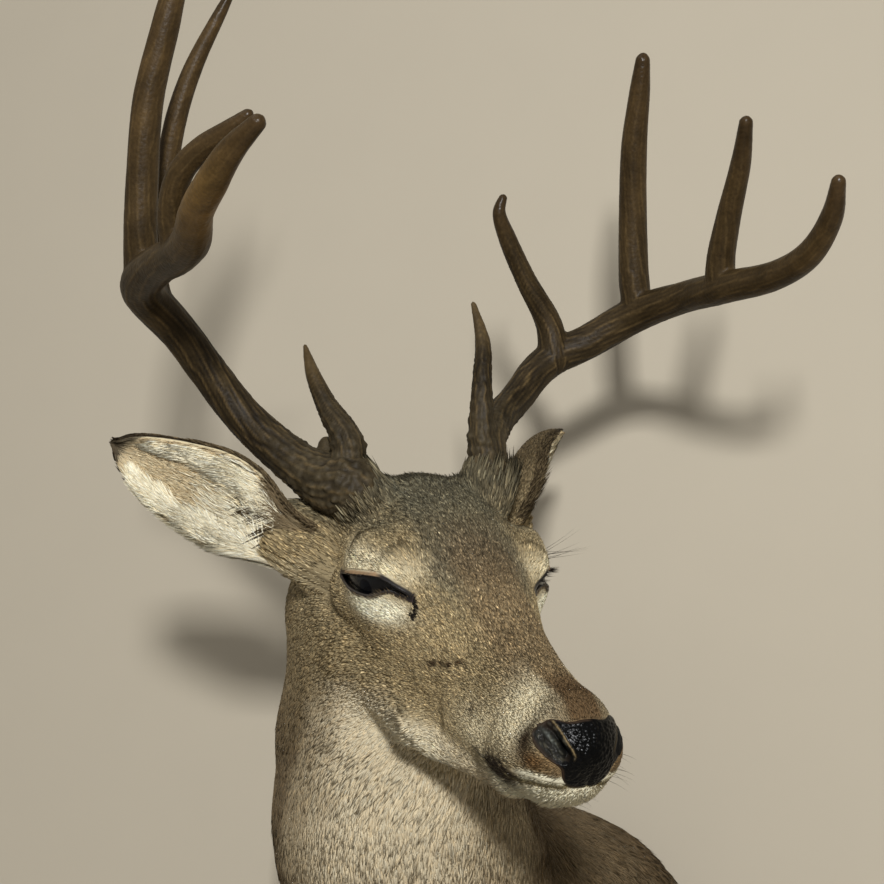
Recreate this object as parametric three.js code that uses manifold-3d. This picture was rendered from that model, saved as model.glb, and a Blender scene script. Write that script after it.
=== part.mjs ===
// White-tailed deer buck, shoulder mount, life size. Millimetres, +Z up.
// The wall is the plane y = 0 and the mount stands out from it toward -Y; the origin is the
// centre of the backboard's rear face. The hide is one implicit surface, made of a lofted head
// and round masses. It is meshed on rings, then parted by flat cuts into named solids.
import * as THREE from 'three';
import { mergeVertices } from 'three/addons/utils/BufferGeometryUtils.js';
import Module from 'manifold-3d';

const wasm = await Module();
wasm.setup();

// ---- driving dimensions: board and pose ----
const GAP = 0.3;                    // clearance between neighbouring solids
const BOARD_THICKNESS = 19;
const BOARD_INSET = 9;              // the board lies inside the edge of the hide
const BOARD_BEVEL = 2;
const EYE_MIDPOINT = [23.2, -337.2, 358.3];
const HEAD_AZIMUTH = 44.3;          // degrees, turned toward +X from straight ahead (-Y)
const HEAD_PITCH = -19.8;           // degrees, nose below the horizon
const HEAD_ROLL = 6.5;              // degrees, the animal's left side raised

// ---- driving dimensions: head, in its own frame of left, forward and up from between the eyes
// forward, top, bottom, half width, widest level, upper squareness, lower squareness
const HEAD_STATIONS = [
  [-120, 34, -104, 44, -20, 2.0, 2.0],
  [-80, 52, -104, 50, -14, 2.1, 2.0],
  [-50, 58, -104, 53, -12, 2.3, 1.9],
  [-20, 54, -104, 56, -12, 2.5, 1.8],
  [10, 44, -100, 54, -14, 2.5, 1.8],
  [40, 30, -96, 44, -20, 2.2, 1.9],
  [80, 11, -92, 32, -32, 1.9, 2.0],
  [120, -5, -88, 27, -42, 1.8, 2.1],
  [150, -13, -85, 26, -48, 1.8, 2.2],
  [175, -17, -80, 26.5, -50, 1.9, 2.3],
  [197, -24, -63, 23.5, -46, 2.1, 2.2],
];
const NOSE_TIP = 196;
const NOSE_ROUNDING = 26;           // the last stretch of the muzzle closes as an ellipse
// round-ended cones on the animal's left, mirrored to its right
const HEAD_MASSES = [
  { a: [53, -4, 22], b: [45, 20, 17], ra: 11, rb: 9, blend: 12 },       // brow over the eye
  { a: [51, -14, 6], b: [52, -32, -7], ra: 12.5, rb: 13, blend: 16 },   // rim behind the eye
  { a: [45, -22, 16], b: [44, -44, 14], ra: 12, rb: 11, blend: 16 },    // temple
  { a: [50, -28, -14], b: [24, 72, -30], ra: 12, rb: 5, blend: 18 },    // cheekbone
  { a: [33, -42, -62], b: [28, 32, -80], ra: 26, rb: 17, blend: 18 },   // jaw muscle
  { a: [18, 50, -86], b: [10, 130, -78], ra: 14, rb: 12, blend: 14 },   // jaw bone
  { a: [46, 3, 1], b: [46, 4, 1], ra: 19.6, rb: 19.6, blend: 18 },      // lids over the eye
  { a: [15, 146, -55], b: [14, 174, -51], ra: 13, rb: 13, blend: 10 },  // upper lip
  { a: [21, 78, -60], b: [17, 150, -58], ra: 6, rb: 13, blend: 20 },    // upper lip, back
  { a: [8, 146, -72], b: [7, 165, -70], ra: 12, rb: 9.5, blend: 8 },    // chin
  { a: [34, -46, 34], b: [45, -54, 47], ra: 19, rb: 20.5, blend: 13 },  // antler pedicle
  { a: [48, -82, 14], b: [68, -84, 18], ra: 22, rb: 17, blend: 20 },    // ear root
];
const NOSE_PAD = { centre: [0, 191, -44], radii: [29, 25, 20] };
const MOUTH_FRONT = 190;
const MOUTH_LEVEL = -67;            // up, at the front of the lips
const MOUTH_SLOPE = 4.8;            // degrees the mouth line falls toward the nose
const JAW_BACK = 58;                // forward of the eyes: where the lower jaw is parted
const JAW_BLOCK = [200, 160, 80];   // width, length, height of the block that parts it
const EYE_CENTRE = [46, 3, 1];
const EYE_RADIUS = 17;
const LID_SLIT = { centre: [61, 6, 1], along: [-0.42, 0.907, -0.02], radii: [10, 27, 8] };

// ---- driving dimensions: neck and shoulders, in the mount's own frame
const BODY_MASSES = [
  { a: [-71, -233, 352], b: [-64, -182, 190], ra: 61, rb: 75, blend: 40 },   // nape
  { a: [-84, -212, 262], b: [-80, -200, 232], ra: 56, rb: 62, blend: 30 },   // side of the neck
  { a: [-40, -275, 336], b: [-28, -238, 190], ra: 56, rb: 75, blend: 40 },   // throat
  { a: [-64, -182, 190], b: [-10, -60, 106], ra: 75, rb: 112, blend: 45 },   // nape to withers
  { a: [-28, -238, 190], b: [0, -168, 10], ra: 75, rb: 92, blend: 45 },      // throat to brisket
  { a: [0, -168, 10], b: [0, -112, -128], ra: 92, rb: 78, blend: 45 },       // brisket
  { a: [0, -36, 76], b: [0, -30, -86], ra: 140, rb: 137, blend: 45 },        // chest at the wall
  { a: [72, -70, 66], b: [92, -112, -66], ra: 66, rb: 58, blend: 40 },       // left shoulder
  { a: [-72, -70, 66], b: [-92, -112, -66], ra: 66, rb: 58, blend: 40 },     // right shoulder
  { a: [92, -112, -66], b: [76, -56, -154], ra: 58, rb: 48, blend: 40 },     // left upper leg
  { a: [-92, -112, -66], b: [-76, -56, -154], ra: 58, rb: 48, blend: 40 },   // right upper leg
];
const NECK_BLEND = 24;              // softness where the head meets the neck

// ---- driving dimensions: the rings that the hide is meshed on
const FIRST_PIVOT = [90, -128];     // forward, up: the throat rings fan about this line
const MUZZLE_CENTRE = -42;          // up, head frame: where the rays of a muzzle ring start
const FIRST_REACH = [86, 176];      // from the first pivot line to the rays' start
const FIRST_SHIFT = [0, 24];
const SECOND_REACH = [196, 262];    // the same from the second pivot line, on the board
const SECOND_SHIFT = [-38, 0];
const RAY_LENGTH = 330;
const MIN_RADIUS = 0.4;
const RING_COLUMNS = 36;
const MUZZLE_RINGS = 11;
const THROAT_RINGS = 18;
const CHEST_RINGS = 12;
const HEAD_CUT = 12;                // throat rings that stay with the head
const NECK_CUT = 23;                // rings past the muzzle where the neck ends

// ---- driving dimensions: ears, head frame
const EAR_THICKNESS = 4;
const EAR_ROWS = 12;
const EAR_COLUMNS = 8;
const EAR_OPENING = [88, 62];       // half angles of the arc at the root and past the middle
const EAR_ROOT_RADIUS = 22;
const EAR_HALF_WIDTH = 36;
const EAR_BURIED = 0.16;            // share of the length that runs into the head
const EARS = [
  { name: 'ear_left', root: [70, -78, 10], tip: [159, -168, 66], facing: [0.95, 0.1, -0.1] },
  { name: 'ear_right', root: [-72, -78, 9], tip: [-195, -90, 72], facing: [-0.35, 0.88, -0.47] },
];
const EAR_BASES = [                 // the furred base of each ear, part of the head
  { a: [66, -80, 3], b: [84, -98, 14], ra: 25, rb: 20, blend: 16 },
  { a: [-66, -80, 4], b: [-80, -81, 10], ra: 26, rb: 22, blend: 16 },
];

// ---- driving dimensions: antlers, head frame; each point is left, forward, up and radius.
// The beam parts at a share of its run of points.
const ANTLER_SIDES = 8;
const ANTLER_STEP = 16;
const BEAM_LENGTH = 480;
const ANTLERS = {
  left: {
    beam: [
      [38, -46, 34, 14], [47, -54, 53, 15], [49, -60, 66, 13], [52, -69, 80, 12.5],
      [69, -90, 91, 11.5], [91, -110, 102, 11.5], [120, -124, 127, 12.5],
      [150, -116, 145, 12.5], [175, -96, 167, 13],
      [185, -55, 182, 11], [185, -5, 193, 11], [191, 45, 205, 9.5], [190, 80, 221, 8.5],
      [185, 104, 244, 7], [176, 119, 265, 4.4],
    ],
    split: 0.47,
    brow_tine: [
      [48, -58, 62, 10], [45, -63, 84, 9.5], [47, -74, 118, 6.5], [52, -88, 143, 5.5],
      [51, -106, 169, 2],
    ],
    second_tine: [
      [126, -122, 130, 12], [121, -126, 155, 9.5], [102, -128, 184, 7.5], [84, -128, 214, 6.5],
      [75, -126, 232, 4.8], [77, -125, 243, 3],
    ],
    third_tine: [
      [176, -96, 168, 10.8], [172, -98, 190, 11], [166, -98, 238, 10], [159, -92, 284, 9.2],
      [155, -84, 322, 7.2], [153, -80, 343, 5],
    ],
    fourth_tine: [
      [185, -8, 194, 10.6], [181, -4, 212, 9.5], [176, 8, 240, 8.2], [168, 28, 274, 6.6],
      [159, 43, 299, 4.4],
    ],
  },
  right: {
    beam: [
      [-38, -46, 32, 14], [-49, -54, 50, 20], [-60, -66, 51, 19], [-76, -85, 60, 14.5],
      [-104, -114, 85, 13], [-126, -124, 112, 12.5], [-148, -124, 139, 12.5],
      [-178, -108, 168, 14], [-181, -60, 186, 12], [-179, -20, 195, 11.5], [-180, 12, 205, 11.5],
      [-187, 48, 222, 9.5], [-188, 78, 237, 9], [-185, 102, 254, 7.2], [-177, 121, 269, 4.6],
    ],
    split: 0.42,
    brow_tine: [
      [-52, -60, 54, 12], [-51, -63, 78, 10.5], [-60, -82, 100, 7], [-66, -96, 119, 5],
      [-69, -106, 136, 1.8],
    ],
    second_tine: [
      [-168, -116, 158, 11.6], [-170, -121, 185, 9], [-165, -122, 225, 7.5], [-159, -120, 275, 7],
      [-150, -118, 308, 6], [-134, -114, 346, 4], [-124, -112, 368, 1.6],
    ],
    third_tine: [
      [-180, -98, 174, 12.6], [-185, -90, 200, 10.5], [-186, -88, 240, 10], [-185, -85, 285, 9.5],
      [-177, -80, 332, 8.5], [-170, -76, 372, 6], [-166, -74, 402, 2],
    ],
    fourth_tine: [
      [-180, -18, 196, 9.5], [-186, -10, 220, 8.5], [-186, 6, 242, 7.5], [-178, 20, 256, 7],
      [-166, 36, 268, 5.5], [-159, 43, 276, 3.4],
    ],
  },
};

// ---- small vector helpers on plain arrays ----
const add = (a, b) => [a[0] + b[0], a[1] + b[1], a[2] + b[2]];
const sub = (a, b) => [a[0] - b[0], a[1] - b[1], a[2] - b[2]];
const scale = (a, k) => [a[0] * k, a[1] * k, a[2] * k];
const dot = (a, b) => a[0] * b[0] + a[1] * b[1] + a[2] * b[2];
const length = (a) => Math.sqrt(dot(a, a));
const unit = (a) => scale(a, 1 / length(a));
const cross = (a, b) => [
  a[1] * b[2] - a[2] * b[1],
  a[2] * b[0] - a[0] * b[2],
  a[0] * b[1] - a[1] * b[0],
];
const radians = THREE.MathUtils.degToRad;
const mix = THREE.MathUtils.lerp;
const clamp = THREE.MathUtils.clamp;
const smoothstep = (t) => THREE.MathUtils.smoothstep(t, 0, 1);
const turn = (v, axis, angle) => {
  const c = Math.cos(angle);
  const s = Math.sin(angle);
  return add(add(scale(v, c), scale(cross(axis, v), s)), scale(axis, dot(axis, v) * (1 - c)));
};

// ---- head frame ----
const FORWARD = [
  Math.cos(radians(HEAD_PITCH)) * Math.sin(radians(HEAD_AZIMUTH)),
  -Math.cos(radians(HEAD_PITCH)) * Math.cos(radians(HEAD_AZIMUTH)),
  Math.sin(radians(HEAD_PITCH)),
];
const LEFT = turn(unit(cross([0, 0, 1], FORWARD)), FORWARD, radians(HEAD_ROLL));
const UP = cross(FORWARD, LEFT);
const HEAD_AXES = [LEFT, scale(FORWARD, -1), UP];
const alongHead = ([left, forward, up]) =>
  add(scale(LEFT, left), add(scale(FORWARD, forward), scale(UP, up)));
const fromHead = (p) => add(EYE_MIDPOINT, alongHead(p));
const toHead = (p) => {
  const d = sub(p, EYE_MIDPOINT);
  return [dot(d, LEFT), dot(d, FORWARD), dot(d, UP)];
};
const SIDES = [
  { name: 'left', sign: 1 },
  { name: 'right', sign: -1 },
];
const mirror = ([left, forward, up], sign) => [left * sign, forward, up];

// ---- the hide as a distance-like field ----
// The six measures of the head's section at a place along it, by smooth interpolation.
function station(forward) {
  const last = HEAD_STATIONS.length - 1;
  const f = clamp(forward, HEAD_STATIONS[0][0], HEAD_STATIONS[last][0]);
  let i = 0;
  while (i < last - 1 && HEAD_STATIONS[i + 1][0] < f) i += 1;
  const here = HEAD_STATIONS[i];
  const next = HEAD_STATIONS[i + 1];
  const before = HEAD_STATIONS[Math.max(i - 1, 0)];
  const after = HEAD_STATIONS[Math.min(i + 2, last)];
  const span = next[0] - here[0];
  const t = (f - here[0]) / span;
  const t2 = t * t;
  const t3 = t2 * t;
  return [1, 2, 3, 4, 5, 6].map((k) => {
    const slopeHere = (next[k] - before[k]) / (next[0] - before[0]) * span;
    const slopeNext = (after[k] - here[k]) / (after[0] - here[0]) * span;
    return here[k] * (2 * t3 - 3 * t2 + 1) + slopeHere * (t3 - 2 * t2 + t)
      + next[k] * (3 * t2 - 2 * t3) + slopeNext * (t3 - t2);
  });
}

// Each section of the head is two half super-ellipses that meet at its widest level.
function headLoft([left, forward, up]) {
  const [top, bottom, half, level, upperPower, lowerPower] = station(forward);
  const closing = clamp((forward - (NOSE_TIP - NOSE_ROUNDING)) / NOSE_ROUNDING, 0, 0.999);
  const taper = Math.sqrt(1 - closing * closing);
  const height = up > level ? top - level : level - bottom;
  const power = up > level ? upperPower : lowerPower;
  const across = Math.abs(left) / (half * taper);
  const along = Math.abs(up - level) / (height * taper);
  const spread = Math.hypot(left, up - level);
  const rho = Math.pow(Math.pow(across, power) + Math.pow(along, power), 1 / power);
  const section = spread - spread / Math.max(rho, 1e-6);
  const beyond = Math.max(forward - NOSE_TIP, HEAD_STATIONS[0][0] - forward, 0);
  return beyond > 0 ? Math.hypot(Math.max(section, 0), beyond) : section;
}

function roundCone(p, { a, b, ra, rb }) {
  const axis = sub(b, a);
  const t = clamp(dot(sub(p, a), axis) / dot(axis, axis), 0, 1);
  return length(sub(p, add(a, scale(axis, t)))) - mix(ra, rb, t);
}

function smoothMin(x, y, blend) {
  const h = Math.max(blend - Math.abs(x - y), 0) / blend;
  return Math.min(x, y) - h * h * blend * 0.25;
}

// Negative inside the hide, zero on the tips of the coat.
function hideField(p) {
  const local = toHead(p);
  const mirrored = [Math.abs(local[0]), local[1], local[2]];
  let headPart = headLoft(local);
  for (const mass of EAR_BASES) {
    headPart = smoothMin(headPart, roundCone(local, mass), mass.blend);
  }
  for (const mass of HEAD_MASSES) {
    headPart = smoothMin(headPart, roundCone(mirrored, mass), mass.blend);
  }
  let trunkPart = RAY_LENGTH;
  for (const mass of BODY_MASSES) {
    trunkPart = smoothMin(trunkPart, roundCone(p, mass), mass.blend);
  }
  return smoothMin(headPart, trunkPart, NECK_BLEND);
}

// ---- rings: across the muzzle, then fanned round the throat, then fanned down to the board.
// Both pivot lines lie in the one plane where the two fans meet.
const firstPivot = fromHead([0, ...FIRST_PIVOT]);
const boardPlane = -(BOARD_THICKNESS + GAP);
const sharedNormal = unit(cross(LEFT, [1, 0, 0]));
const secondPivot = [
  0,
  boardPlane,
  firstPivot[2] - sharedNormal[1] * (boardPlane - firstPivot[1]) / sharedNormal[2],
];
const firstRadialEnd = cross(LEFT, sharedNormal);
const secondRadialStart = unit(sub(secondPivot, [0, ...firstPivot.slice(1)]));
const firstSweep = Math.acos(dot(UP, firstRadialEnd));
const secondSweep = Math.acos(secondRadialStart[2]);
const twist = Math.atan2(
  dot(cross(firstRadialEnd, secondRadialStart), cross(firstRadialEnd, LEFT)),
  dot(firstRadialEnd, secondRadialStart),
);

// u runs 0-1 over the muzzle, 1-2 round the throat and 2-3 down to the board.
function ring(u) {
  if (u <= 1) {
    const forward = mix(NOSE_TIP, FIRST_PIVOT[0], u);
    return { centre: fromHead([0, forward, MUZZLE_CENTRE]), dorsal: UP, side: LEFT };
  }
  const turned = smoothstep((u - 1) / 2);
  if (u <= 2) {
    const t = u - 1;
    const radial = turn(UP, LEFT, -firstSweep * t);
    const normal = cross(radial, LEFT);
    const reach = mix(...FIRST_REACH, smoothstep(t));
    const shift = mix(...FIRST_SHIFT, smoothstep(t));
    const centre = add(firstPivot, add(scale(radial, reach), scale(LEFT, shift)));
    const dorsal = turn(radial, normal, twist * turned);
    return { centre, dorsal, side: cross(normal, dorsal), radial, reach };
  }
  const t = u - 2;
  const elevation = Math.PI / 2 - secondSweep * (1 - t);
  const upward = [0, Math.cos(elevation), Math.sin(elevation)];
  const normal = cross(upward, [1, 0, 0]);
  const reach = mix(...SECOND_REACH, smoothstep(t));
  const shift = mix(...SECOND_SHIFT, smoothstep(t));
  const centre = add(secondPivot, add(scale(upward, -reach), [shift, 0, 0]));
  const dorsal = turn(upward, normal, -twist * (1 - turned));
  return { centre, dorsal, side: cross(normal, dorsal), radial: scale(upward, -1), reach };
}

// The point where one ray of a ring meets the surface, by halving. A ray toward the pivot line
// stops there, so that it never reaches what lies beyond.
function castRay(frame, angle, iso) {
  const direction = add(scale(frame.dorsal, Math.cos(angle)), scale(frame.side, Math.sin(angle)));
  let outside = RAY_LENGTH;
  if (frame.radial) {
    const toward = -dot(direction, frame.radial);
    if (toward > 0) outside = Math.min(outside, frame.reach / toward - 1);
  }
  let inside = 0;
  for (let step = 0; step < 16; step += 1) {
    const middle = (inside + outside) / 2;
    if (hideField(add(frame.centre, scale(direction, middle))) < iso) inside = middle;
    else outside = middle;
  }
  return add(frame.centre, scale(direction, Math.max(inside, MIN_RADIUS)));
}

const rings = [];
for (let i = 0; i < MUZZLE_RINGS; i += 1) rings.push(Math.pow(i / MUZZLE_RINGS, 1.7));
for (let i = 0; i < THROAT_RINGS; i += 1) rings.push(1 + i / THROAT_RINGS);
for (let i = 0; i <= CHEST_RINGS; i += 1) rings.push(2 + i / CHEST_RINGS);

function hideLoops(from, to, iso) {
  return rings.slice(from, to + 1).map((u) => {
    const frame = ring(u);
    const loop = [];
    for (let column = 0; column < RING_COLUMNS; column += 1) {
      loop.push(castRay(frame, 2 * Math.PI * column / RING_COLUMNS, iso));
    }
    return loop;
  });
}

// ---- closed meshes ----
// Joins a stack of equal loops of points into one closed skin. A round loop is capped by a fan
// round its middle, and a crescent loop by a ladder between its outer and its inner half.
function stackLoops(loops, crescent = false) {
  const columns = loops[0].length;
  const positions = loops.flat();
  const triangles = [];
  for (let row = 0; row < loops.length - 1; row += 1) {
    for (let column = 0; column < columns; column += 1) {
      const a = row * columns + column;
      const b = row * columns + (column + 1) % columns;
      triangles.push([a, b, a + columns], [b, b + columns, a + columns]);
    }
  }
  for (const row of [0, loops.length - 1]) {
    const caps = [];
    if (crescent) {
      for (let column = 0; column < columns / 2 - 1; column += 1) {
        const a = row * columns + column;
        const c = row * columns + columns - 1 - column;
        caps.push([a, c, a + 1], [a + 1, c, c - 1]);
      }
    } else {
      const hub = positions.push(scale(loops[row].reduce(add), 1 / columns)) - 1;
      for (let column = 0; column < columns; column += 1) {
        caps.push([hub, row * columns + (column + 1) % columns, row * columns + column]);
      }
    }
    triangles.push(...caps.map(([i, j, k]) => (row === 0 ? [i, j, k] : [i, k, j])));
  }
  const geometry = new THREE.BufferGeometry();
  geometry.setAttribute('position', new THREE.Float32BufferAttribute(positions.flat(), 3));
  geometry.setIndex(triangles.flat());
  return geometry;
}

function solidOf(geometry) {
  const bare = geometry.clone();
  bare.deleteAttribute('normal');
  bare.deleteAttribute('uv');
  const merged = mergeVertices(bare, 1e-4);
  const solid = new wasm.Manifold(new wasm.Mesh({
    numProp: 3,
    vertProperties: Float32Array.from(merged.attributes.position.array),
    triVerts: Uint32Array.from(merged.index.array),
  }));
  if (solid.volume() > 0) return solid;
  throw new Error('a closed mesh is inside out');
}

function geometryFrom(solid) {
  const mesh = solid.getMesh();
  const geometry = new THREE.BufferGeometry();
  geometry.setAttribute('position', new THREE.BufferAttribute(mesh.vertProperties, 3));
  geometry.setIndex(new THREE.BufferAttribute(mesh.triVerts, 1));
  return geometry;
}

function placedBasis(centre, directions) {
  const basis = new THREE.Matrix4().makeBasis(
    ...directions.map((direction) => new THREE.Vector3(...direction)),
  );
  return basis.setPosition(...centre);
}

function block(centre, directions, size) {
  return solidOf(new THREE.BoxGeometry(...size).applyMatrix4(placedBasis(centre, directions)));
}

function ball(centre, directions, radii, segments) {
  const scaled = directions.map((direction, i) => scale(direction, radii[i]));
  const sphere = new THREE.SphereGeometry(1, segments, segments / 2);
  return solidOf(sphere.applyMatrix4(placedBasis(centre, scaled)));
}

// ---- hide solids ----
// A thin block on a ring's plane: taking it from the next length leaves the clearance.
function cutAt(index) {
  const frame = ring(rings[index]);
  const normal = cross(frame.dorsal, frame.side);
  return block(frame.centre, [frame.dorsal, frame.side, normal], [600, 600, 2 * GAP]);
}

function hideLength(from, to, iso = 0) {
  return solidOf(stackLoops(hideLoops(from, to, iso)));
}

const headEnd = MUZZLE_RINGS + HEAD_CUT;
const neckEnd = MUZZLE_RINGS + NECK_CUT;
const wallRing = rings.length - 1;
const wholeHide = hideLength(0, wallRing, GAP);
const headLength = hideLength(0, headEnd);
const neck = hideLength(headEnd, neckEnd).subtract(cutAt(headEnd));
const shoulders = hideLength(neckEnd, wallRing).subtract(cutAt(neckEnd));

function noseBall(extra) {
  const radii = NOSE_PAD.radii.map((r) => r + extra);
  return ball(fromHead(NOSE_PAD.centre), HEAD_AXES, radii, 20);
}

// Everything of the head that lies under the mouth line and forward of the jaw's parting.
function jawBlock(extra) {
  const forward = turn(FORWARD, LEFT, -radians(MOUTH_SLOPE));
  const upward = turn(UP, LEFT, -radians(MOUTH_SLOPE));
  const [, reach, height] = JAW_BLOCK;
  const middle = [JAW_BACK - MOUTH_FRONT - extra + reach / 2, extra - height / 2];
  const mouthFront = fromHead([0, MOUTH_FRONT, MOUTH_LEVEL]);
  const centre = add(mouthFront, add(scale(forward, middle[0]), scale(upward, middle[1])));
  return block(centre, [LEFT, scale(forward, -1), upward], JAW_BLOCK);
}

function eyeBall(sign, extra) {
  const radius = EYE_RADIUS + extra;
  return ball(fromHead(mirror(EYE_CENTRE, sign)), HEAD_AXES, [radius, radius, radius], 16);
}

// The almond opening between the lids, cut into the hide in front of an eye.
function lidOpening(sign) {
  const along = unit(alongHead(mirror(LID_SLIT.along, sign)));
  const outward = unit(cross(along, UP));
  const frame = [outward, along, cross(outward, along)];
  return ball(fromHead(mirror(LID_SLIT.centre, sign)), frame, LID_SLIT.radii, 12);
}

const nosePad = headLength.intersect(noseBall(0)).subtract(jawBlock(GAP));
const lowerJaw = headLength.intersect(jawBlock(0));
let head = headLength.subtract(noseBall(GAP)).subtract(jawBlock(GAP));
for (const { sign } of SIDES) {
  head = head.subtract(eyeBall(sign, GAP)).subtract(lidOpening(sign));
}

// ---- ears: a cupped shell whose arc is nearly closed at the root and open toward the tip ----
function earSection(s) {
  const halfAngle = radians(mix(...EAR_OPENING, smoothstep(s / 0.6)));
  const swell = Math.pow(Math.sin(Math.PI * clamp(0.1 + 0.894 * s, 0, 1)), 0.52);
  const halfWidth = mix(EAR_ROOT_RADIUS, EAR_HALF_WIDTH * swell, smoothstep(s / 0.4));
  const radius = halfWidth / Math.sin(Math.min(halfAngle, Math.PI / 2));
  return { halfAngle, radius: Math.max(radius, EAR_THICKNESS + 0.8) };
}

function earShell({ root, tip, facing }) {
  const start = fromHead(root);
  const span = sub(fromHead(tip), start);
  const axis = unit(span);
  const toward = alongHead(facing);
  const face = unit(sub(toward, scale(axis, dot(toward, axis))));
  const across = cross(face, axis);
  const loops = [];
  for (let row = 0; row <= EAR_ROWS; row += 1) {
    const s = mix(-EAR_BURIED, 1, row / EAR_ROWS);
    const { halfAngle, radius } = earSection(Math.max(s, 0));
    const centre = add(start, scale(span, s));
    const point = (angle, r) => add(centre, add(
      scale(across, r * Math.sin(angle)),
      scale(face, radius * 0.45 - r * Math.cos(angle)),
    ));
    const outer = [];
    const inner = [];
    for (let column = 0; column <= EAR_COLUMNS; column += 1) {
      const angle = mix(-halfAngle, halfAngle, column / EAR_COLUMNS);
      outer.push(point(angle, radius));
      inner.push(point(angle, radius - EAR_THICKNESS));
    }
    loops.push([...outer, ...inner.reverse()]);
  }
  return solidOf(stackLoops(loops, true));
}

// ---- antlers: tapered runs through their points ----
function taperedRun(points, from = 0, to = 1, extra = 0) {
  const curve = new THREE.CatmullRomCurve3(
    points.map((p) => new THREE.Vector3(...fromHead(p))),
    false,
    'centripetal',
  );
  const steps = Math.max(6, Math.round(curve.getLength() * (to - from) / ANTLER_STEP));
  const loops = [];
  let normal = [0, 0.6, 0.8];
  for (let step = 0; step <= steps; step += 1) {
    const t = mix(from, to, step / steps);
    const centre = curve.getPoint(t).toArray();
    const tangent = curve.getTangent(t).toArray();
    normal = unit(sub(normal, scale(tangent, dot(normal, tangent))));
    const binormal = cross(tangent, normal);
    const place = t * (points.length - 1);
    const index = Math.min(Math.floor(place), points.length - 2);
    const radius = mix(points[index][3], points[index + 1][3], place - index) + extra;
    const loop = [];
    for (let i = 0; i < ANTLER_SIDES; i += 1) {
      const angle = 2 * Math.PI * i / ANTLER_SIDES;
      const across = scale(normal, radius * Math.cos(angle));
      loop.push(add(centre, add(across, scale(binormal, radius * Math.sin(angle)))));
    }
    loops.push(loop);
  }
  return solidOf(stackLoops(loops));
}

function antlerPieces({ name, beam, split, tines }) {
  const halfGap = 0.5 * GAP / BEAM_LENGTH;
  const clearBeam = taperedRun(beam, 0, split, GAP).add(taperedRun(beam, split, 1, GAP));
  const pieces = {
    beam_lower: taperedRun(beam, 0, split - halfGap).subtract(wholeHide),
    beam_upper: taperedRun(beam, split + halfGap, 1),
  };
  for (const [tine, points] of Object.entries(tines)) {
    pieces[tine] = taperedRun(points).subtract(clearBeam).subtract(wholeHide);
  }
  return Object.entries(pieces).map(([piece, solid]) => [`antler_${name}_${piece}`, solid]);
}

// ---- backboard: the outline of the hide at the wall, drawn in and bevelled ----
function backboardGeometry() {
  const outline = hideLoops(wallRing, wallRing, 0)[0].map(([x, , z]) => {
    const reach = Math.hypot(x, z);
    return new THREE.Vector2(x, z).multiplyScalar((reach - BOARD_INSET) / reach);
  });
  const geometry = new THREE.ExtrudeGeometry(new THREE.Shape(outline), {
    depth: BOARD_THICKNESS - 2 * BOARD_BEVEL,
    bevelEnabled: true,
    bevelThickness: BOARD_BEVEL,
    bevelSize: BOARD_BEVEL,
    bevelOffset: -BOARD_BEVEL,
    bevelSegments: 1,
  });
  geometry.rotateX(Math.PI / 2);
  return geometry.translate(0, -BOARD_BEVEL, 0);
}

// ---- materials and the finished group ----
const finish = (color, roughness) =>
  new THREE.MeshStandardMaterial({ color, roughness, metalness: 0 });
const HIDE = finish(0x7b6a55, 0.9);
const EAR_HIDE = finish(0x9b8b74, 0.9);
const NOSE = finish(0x17161a, 0.35);
const EYE = finish(0x120c08, 0.08);
const ANTLER = finish(0x4a3526, 0.5);
const WOOD = finish(0x9a744a, 0.6);

const mount = new THREE.Group();
function place(name, geometry, material) {
  const mesh = new THREE.Mesh(geometry, material);
  mesh.name = name;
  mount.add(mesh);
}

place('backboard', backboardGeometry(), WOOD);
place('shoulders', geometryFrom(shoulders), HIDE);
place('neck', geometryFrom(neck), HIDE);
place('head', geometryFrom(head), HIDE);
place('lower_jaw', geometryFrom(lowerJaw), HIDE);
place('nose_pad', geometryFrom(nosePad), NOSE);
for (const ear of EARS) {
  place(ear.name, geometryFrom(earShell(ear).subtract(wholeHide)), EAR_HIDE);
}
for (const { name, sign } of SIDES) {
  place(`eye_${name}`, geometryFrom(eyeBall(sign, 0)), EYE);
}
for (const { name } of SIDES) {
  const { beam, split, ...tines } = ANTLERS[name];
  for (const [piece, solid] of antlerPieces({ name, beam, split, tines })) {
    place(piece, geometryFrom(solid), ANTLER);
  }
}

export default mount;
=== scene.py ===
"""White-tailed buck on a wall board, shoulder mount, life size.

One skin is worked out from the same round masses as the solids, drawn in by the depth of the
coat. Over it lie the coat's locks, the lids, the nose, the ears, the antlers and the whiskers.
Shapes are worked out in millimetres and written to the meshes in metres.
"""
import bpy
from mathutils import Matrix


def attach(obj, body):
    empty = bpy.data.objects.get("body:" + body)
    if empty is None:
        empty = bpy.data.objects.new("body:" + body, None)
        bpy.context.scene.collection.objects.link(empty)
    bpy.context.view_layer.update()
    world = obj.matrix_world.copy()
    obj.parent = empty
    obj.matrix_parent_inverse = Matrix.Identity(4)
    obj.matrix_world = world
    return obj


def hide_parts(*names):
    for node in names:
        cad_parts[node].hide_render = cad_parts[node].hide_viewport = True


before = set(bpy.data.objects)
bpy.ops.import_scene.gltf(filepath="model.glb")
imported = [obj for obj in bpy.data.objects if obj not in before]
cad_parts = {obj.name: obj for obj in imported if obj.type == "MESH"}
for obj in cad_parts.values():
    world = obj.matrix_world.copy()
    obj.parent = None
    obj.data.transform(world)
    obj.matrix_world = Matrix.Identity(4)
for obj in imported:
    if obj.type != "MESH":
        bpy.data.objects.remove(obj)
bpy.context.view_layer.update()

from types import SimpleNamespace

import bpy
import numpy as np
from mathutils import Matrix, Vector

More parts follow.
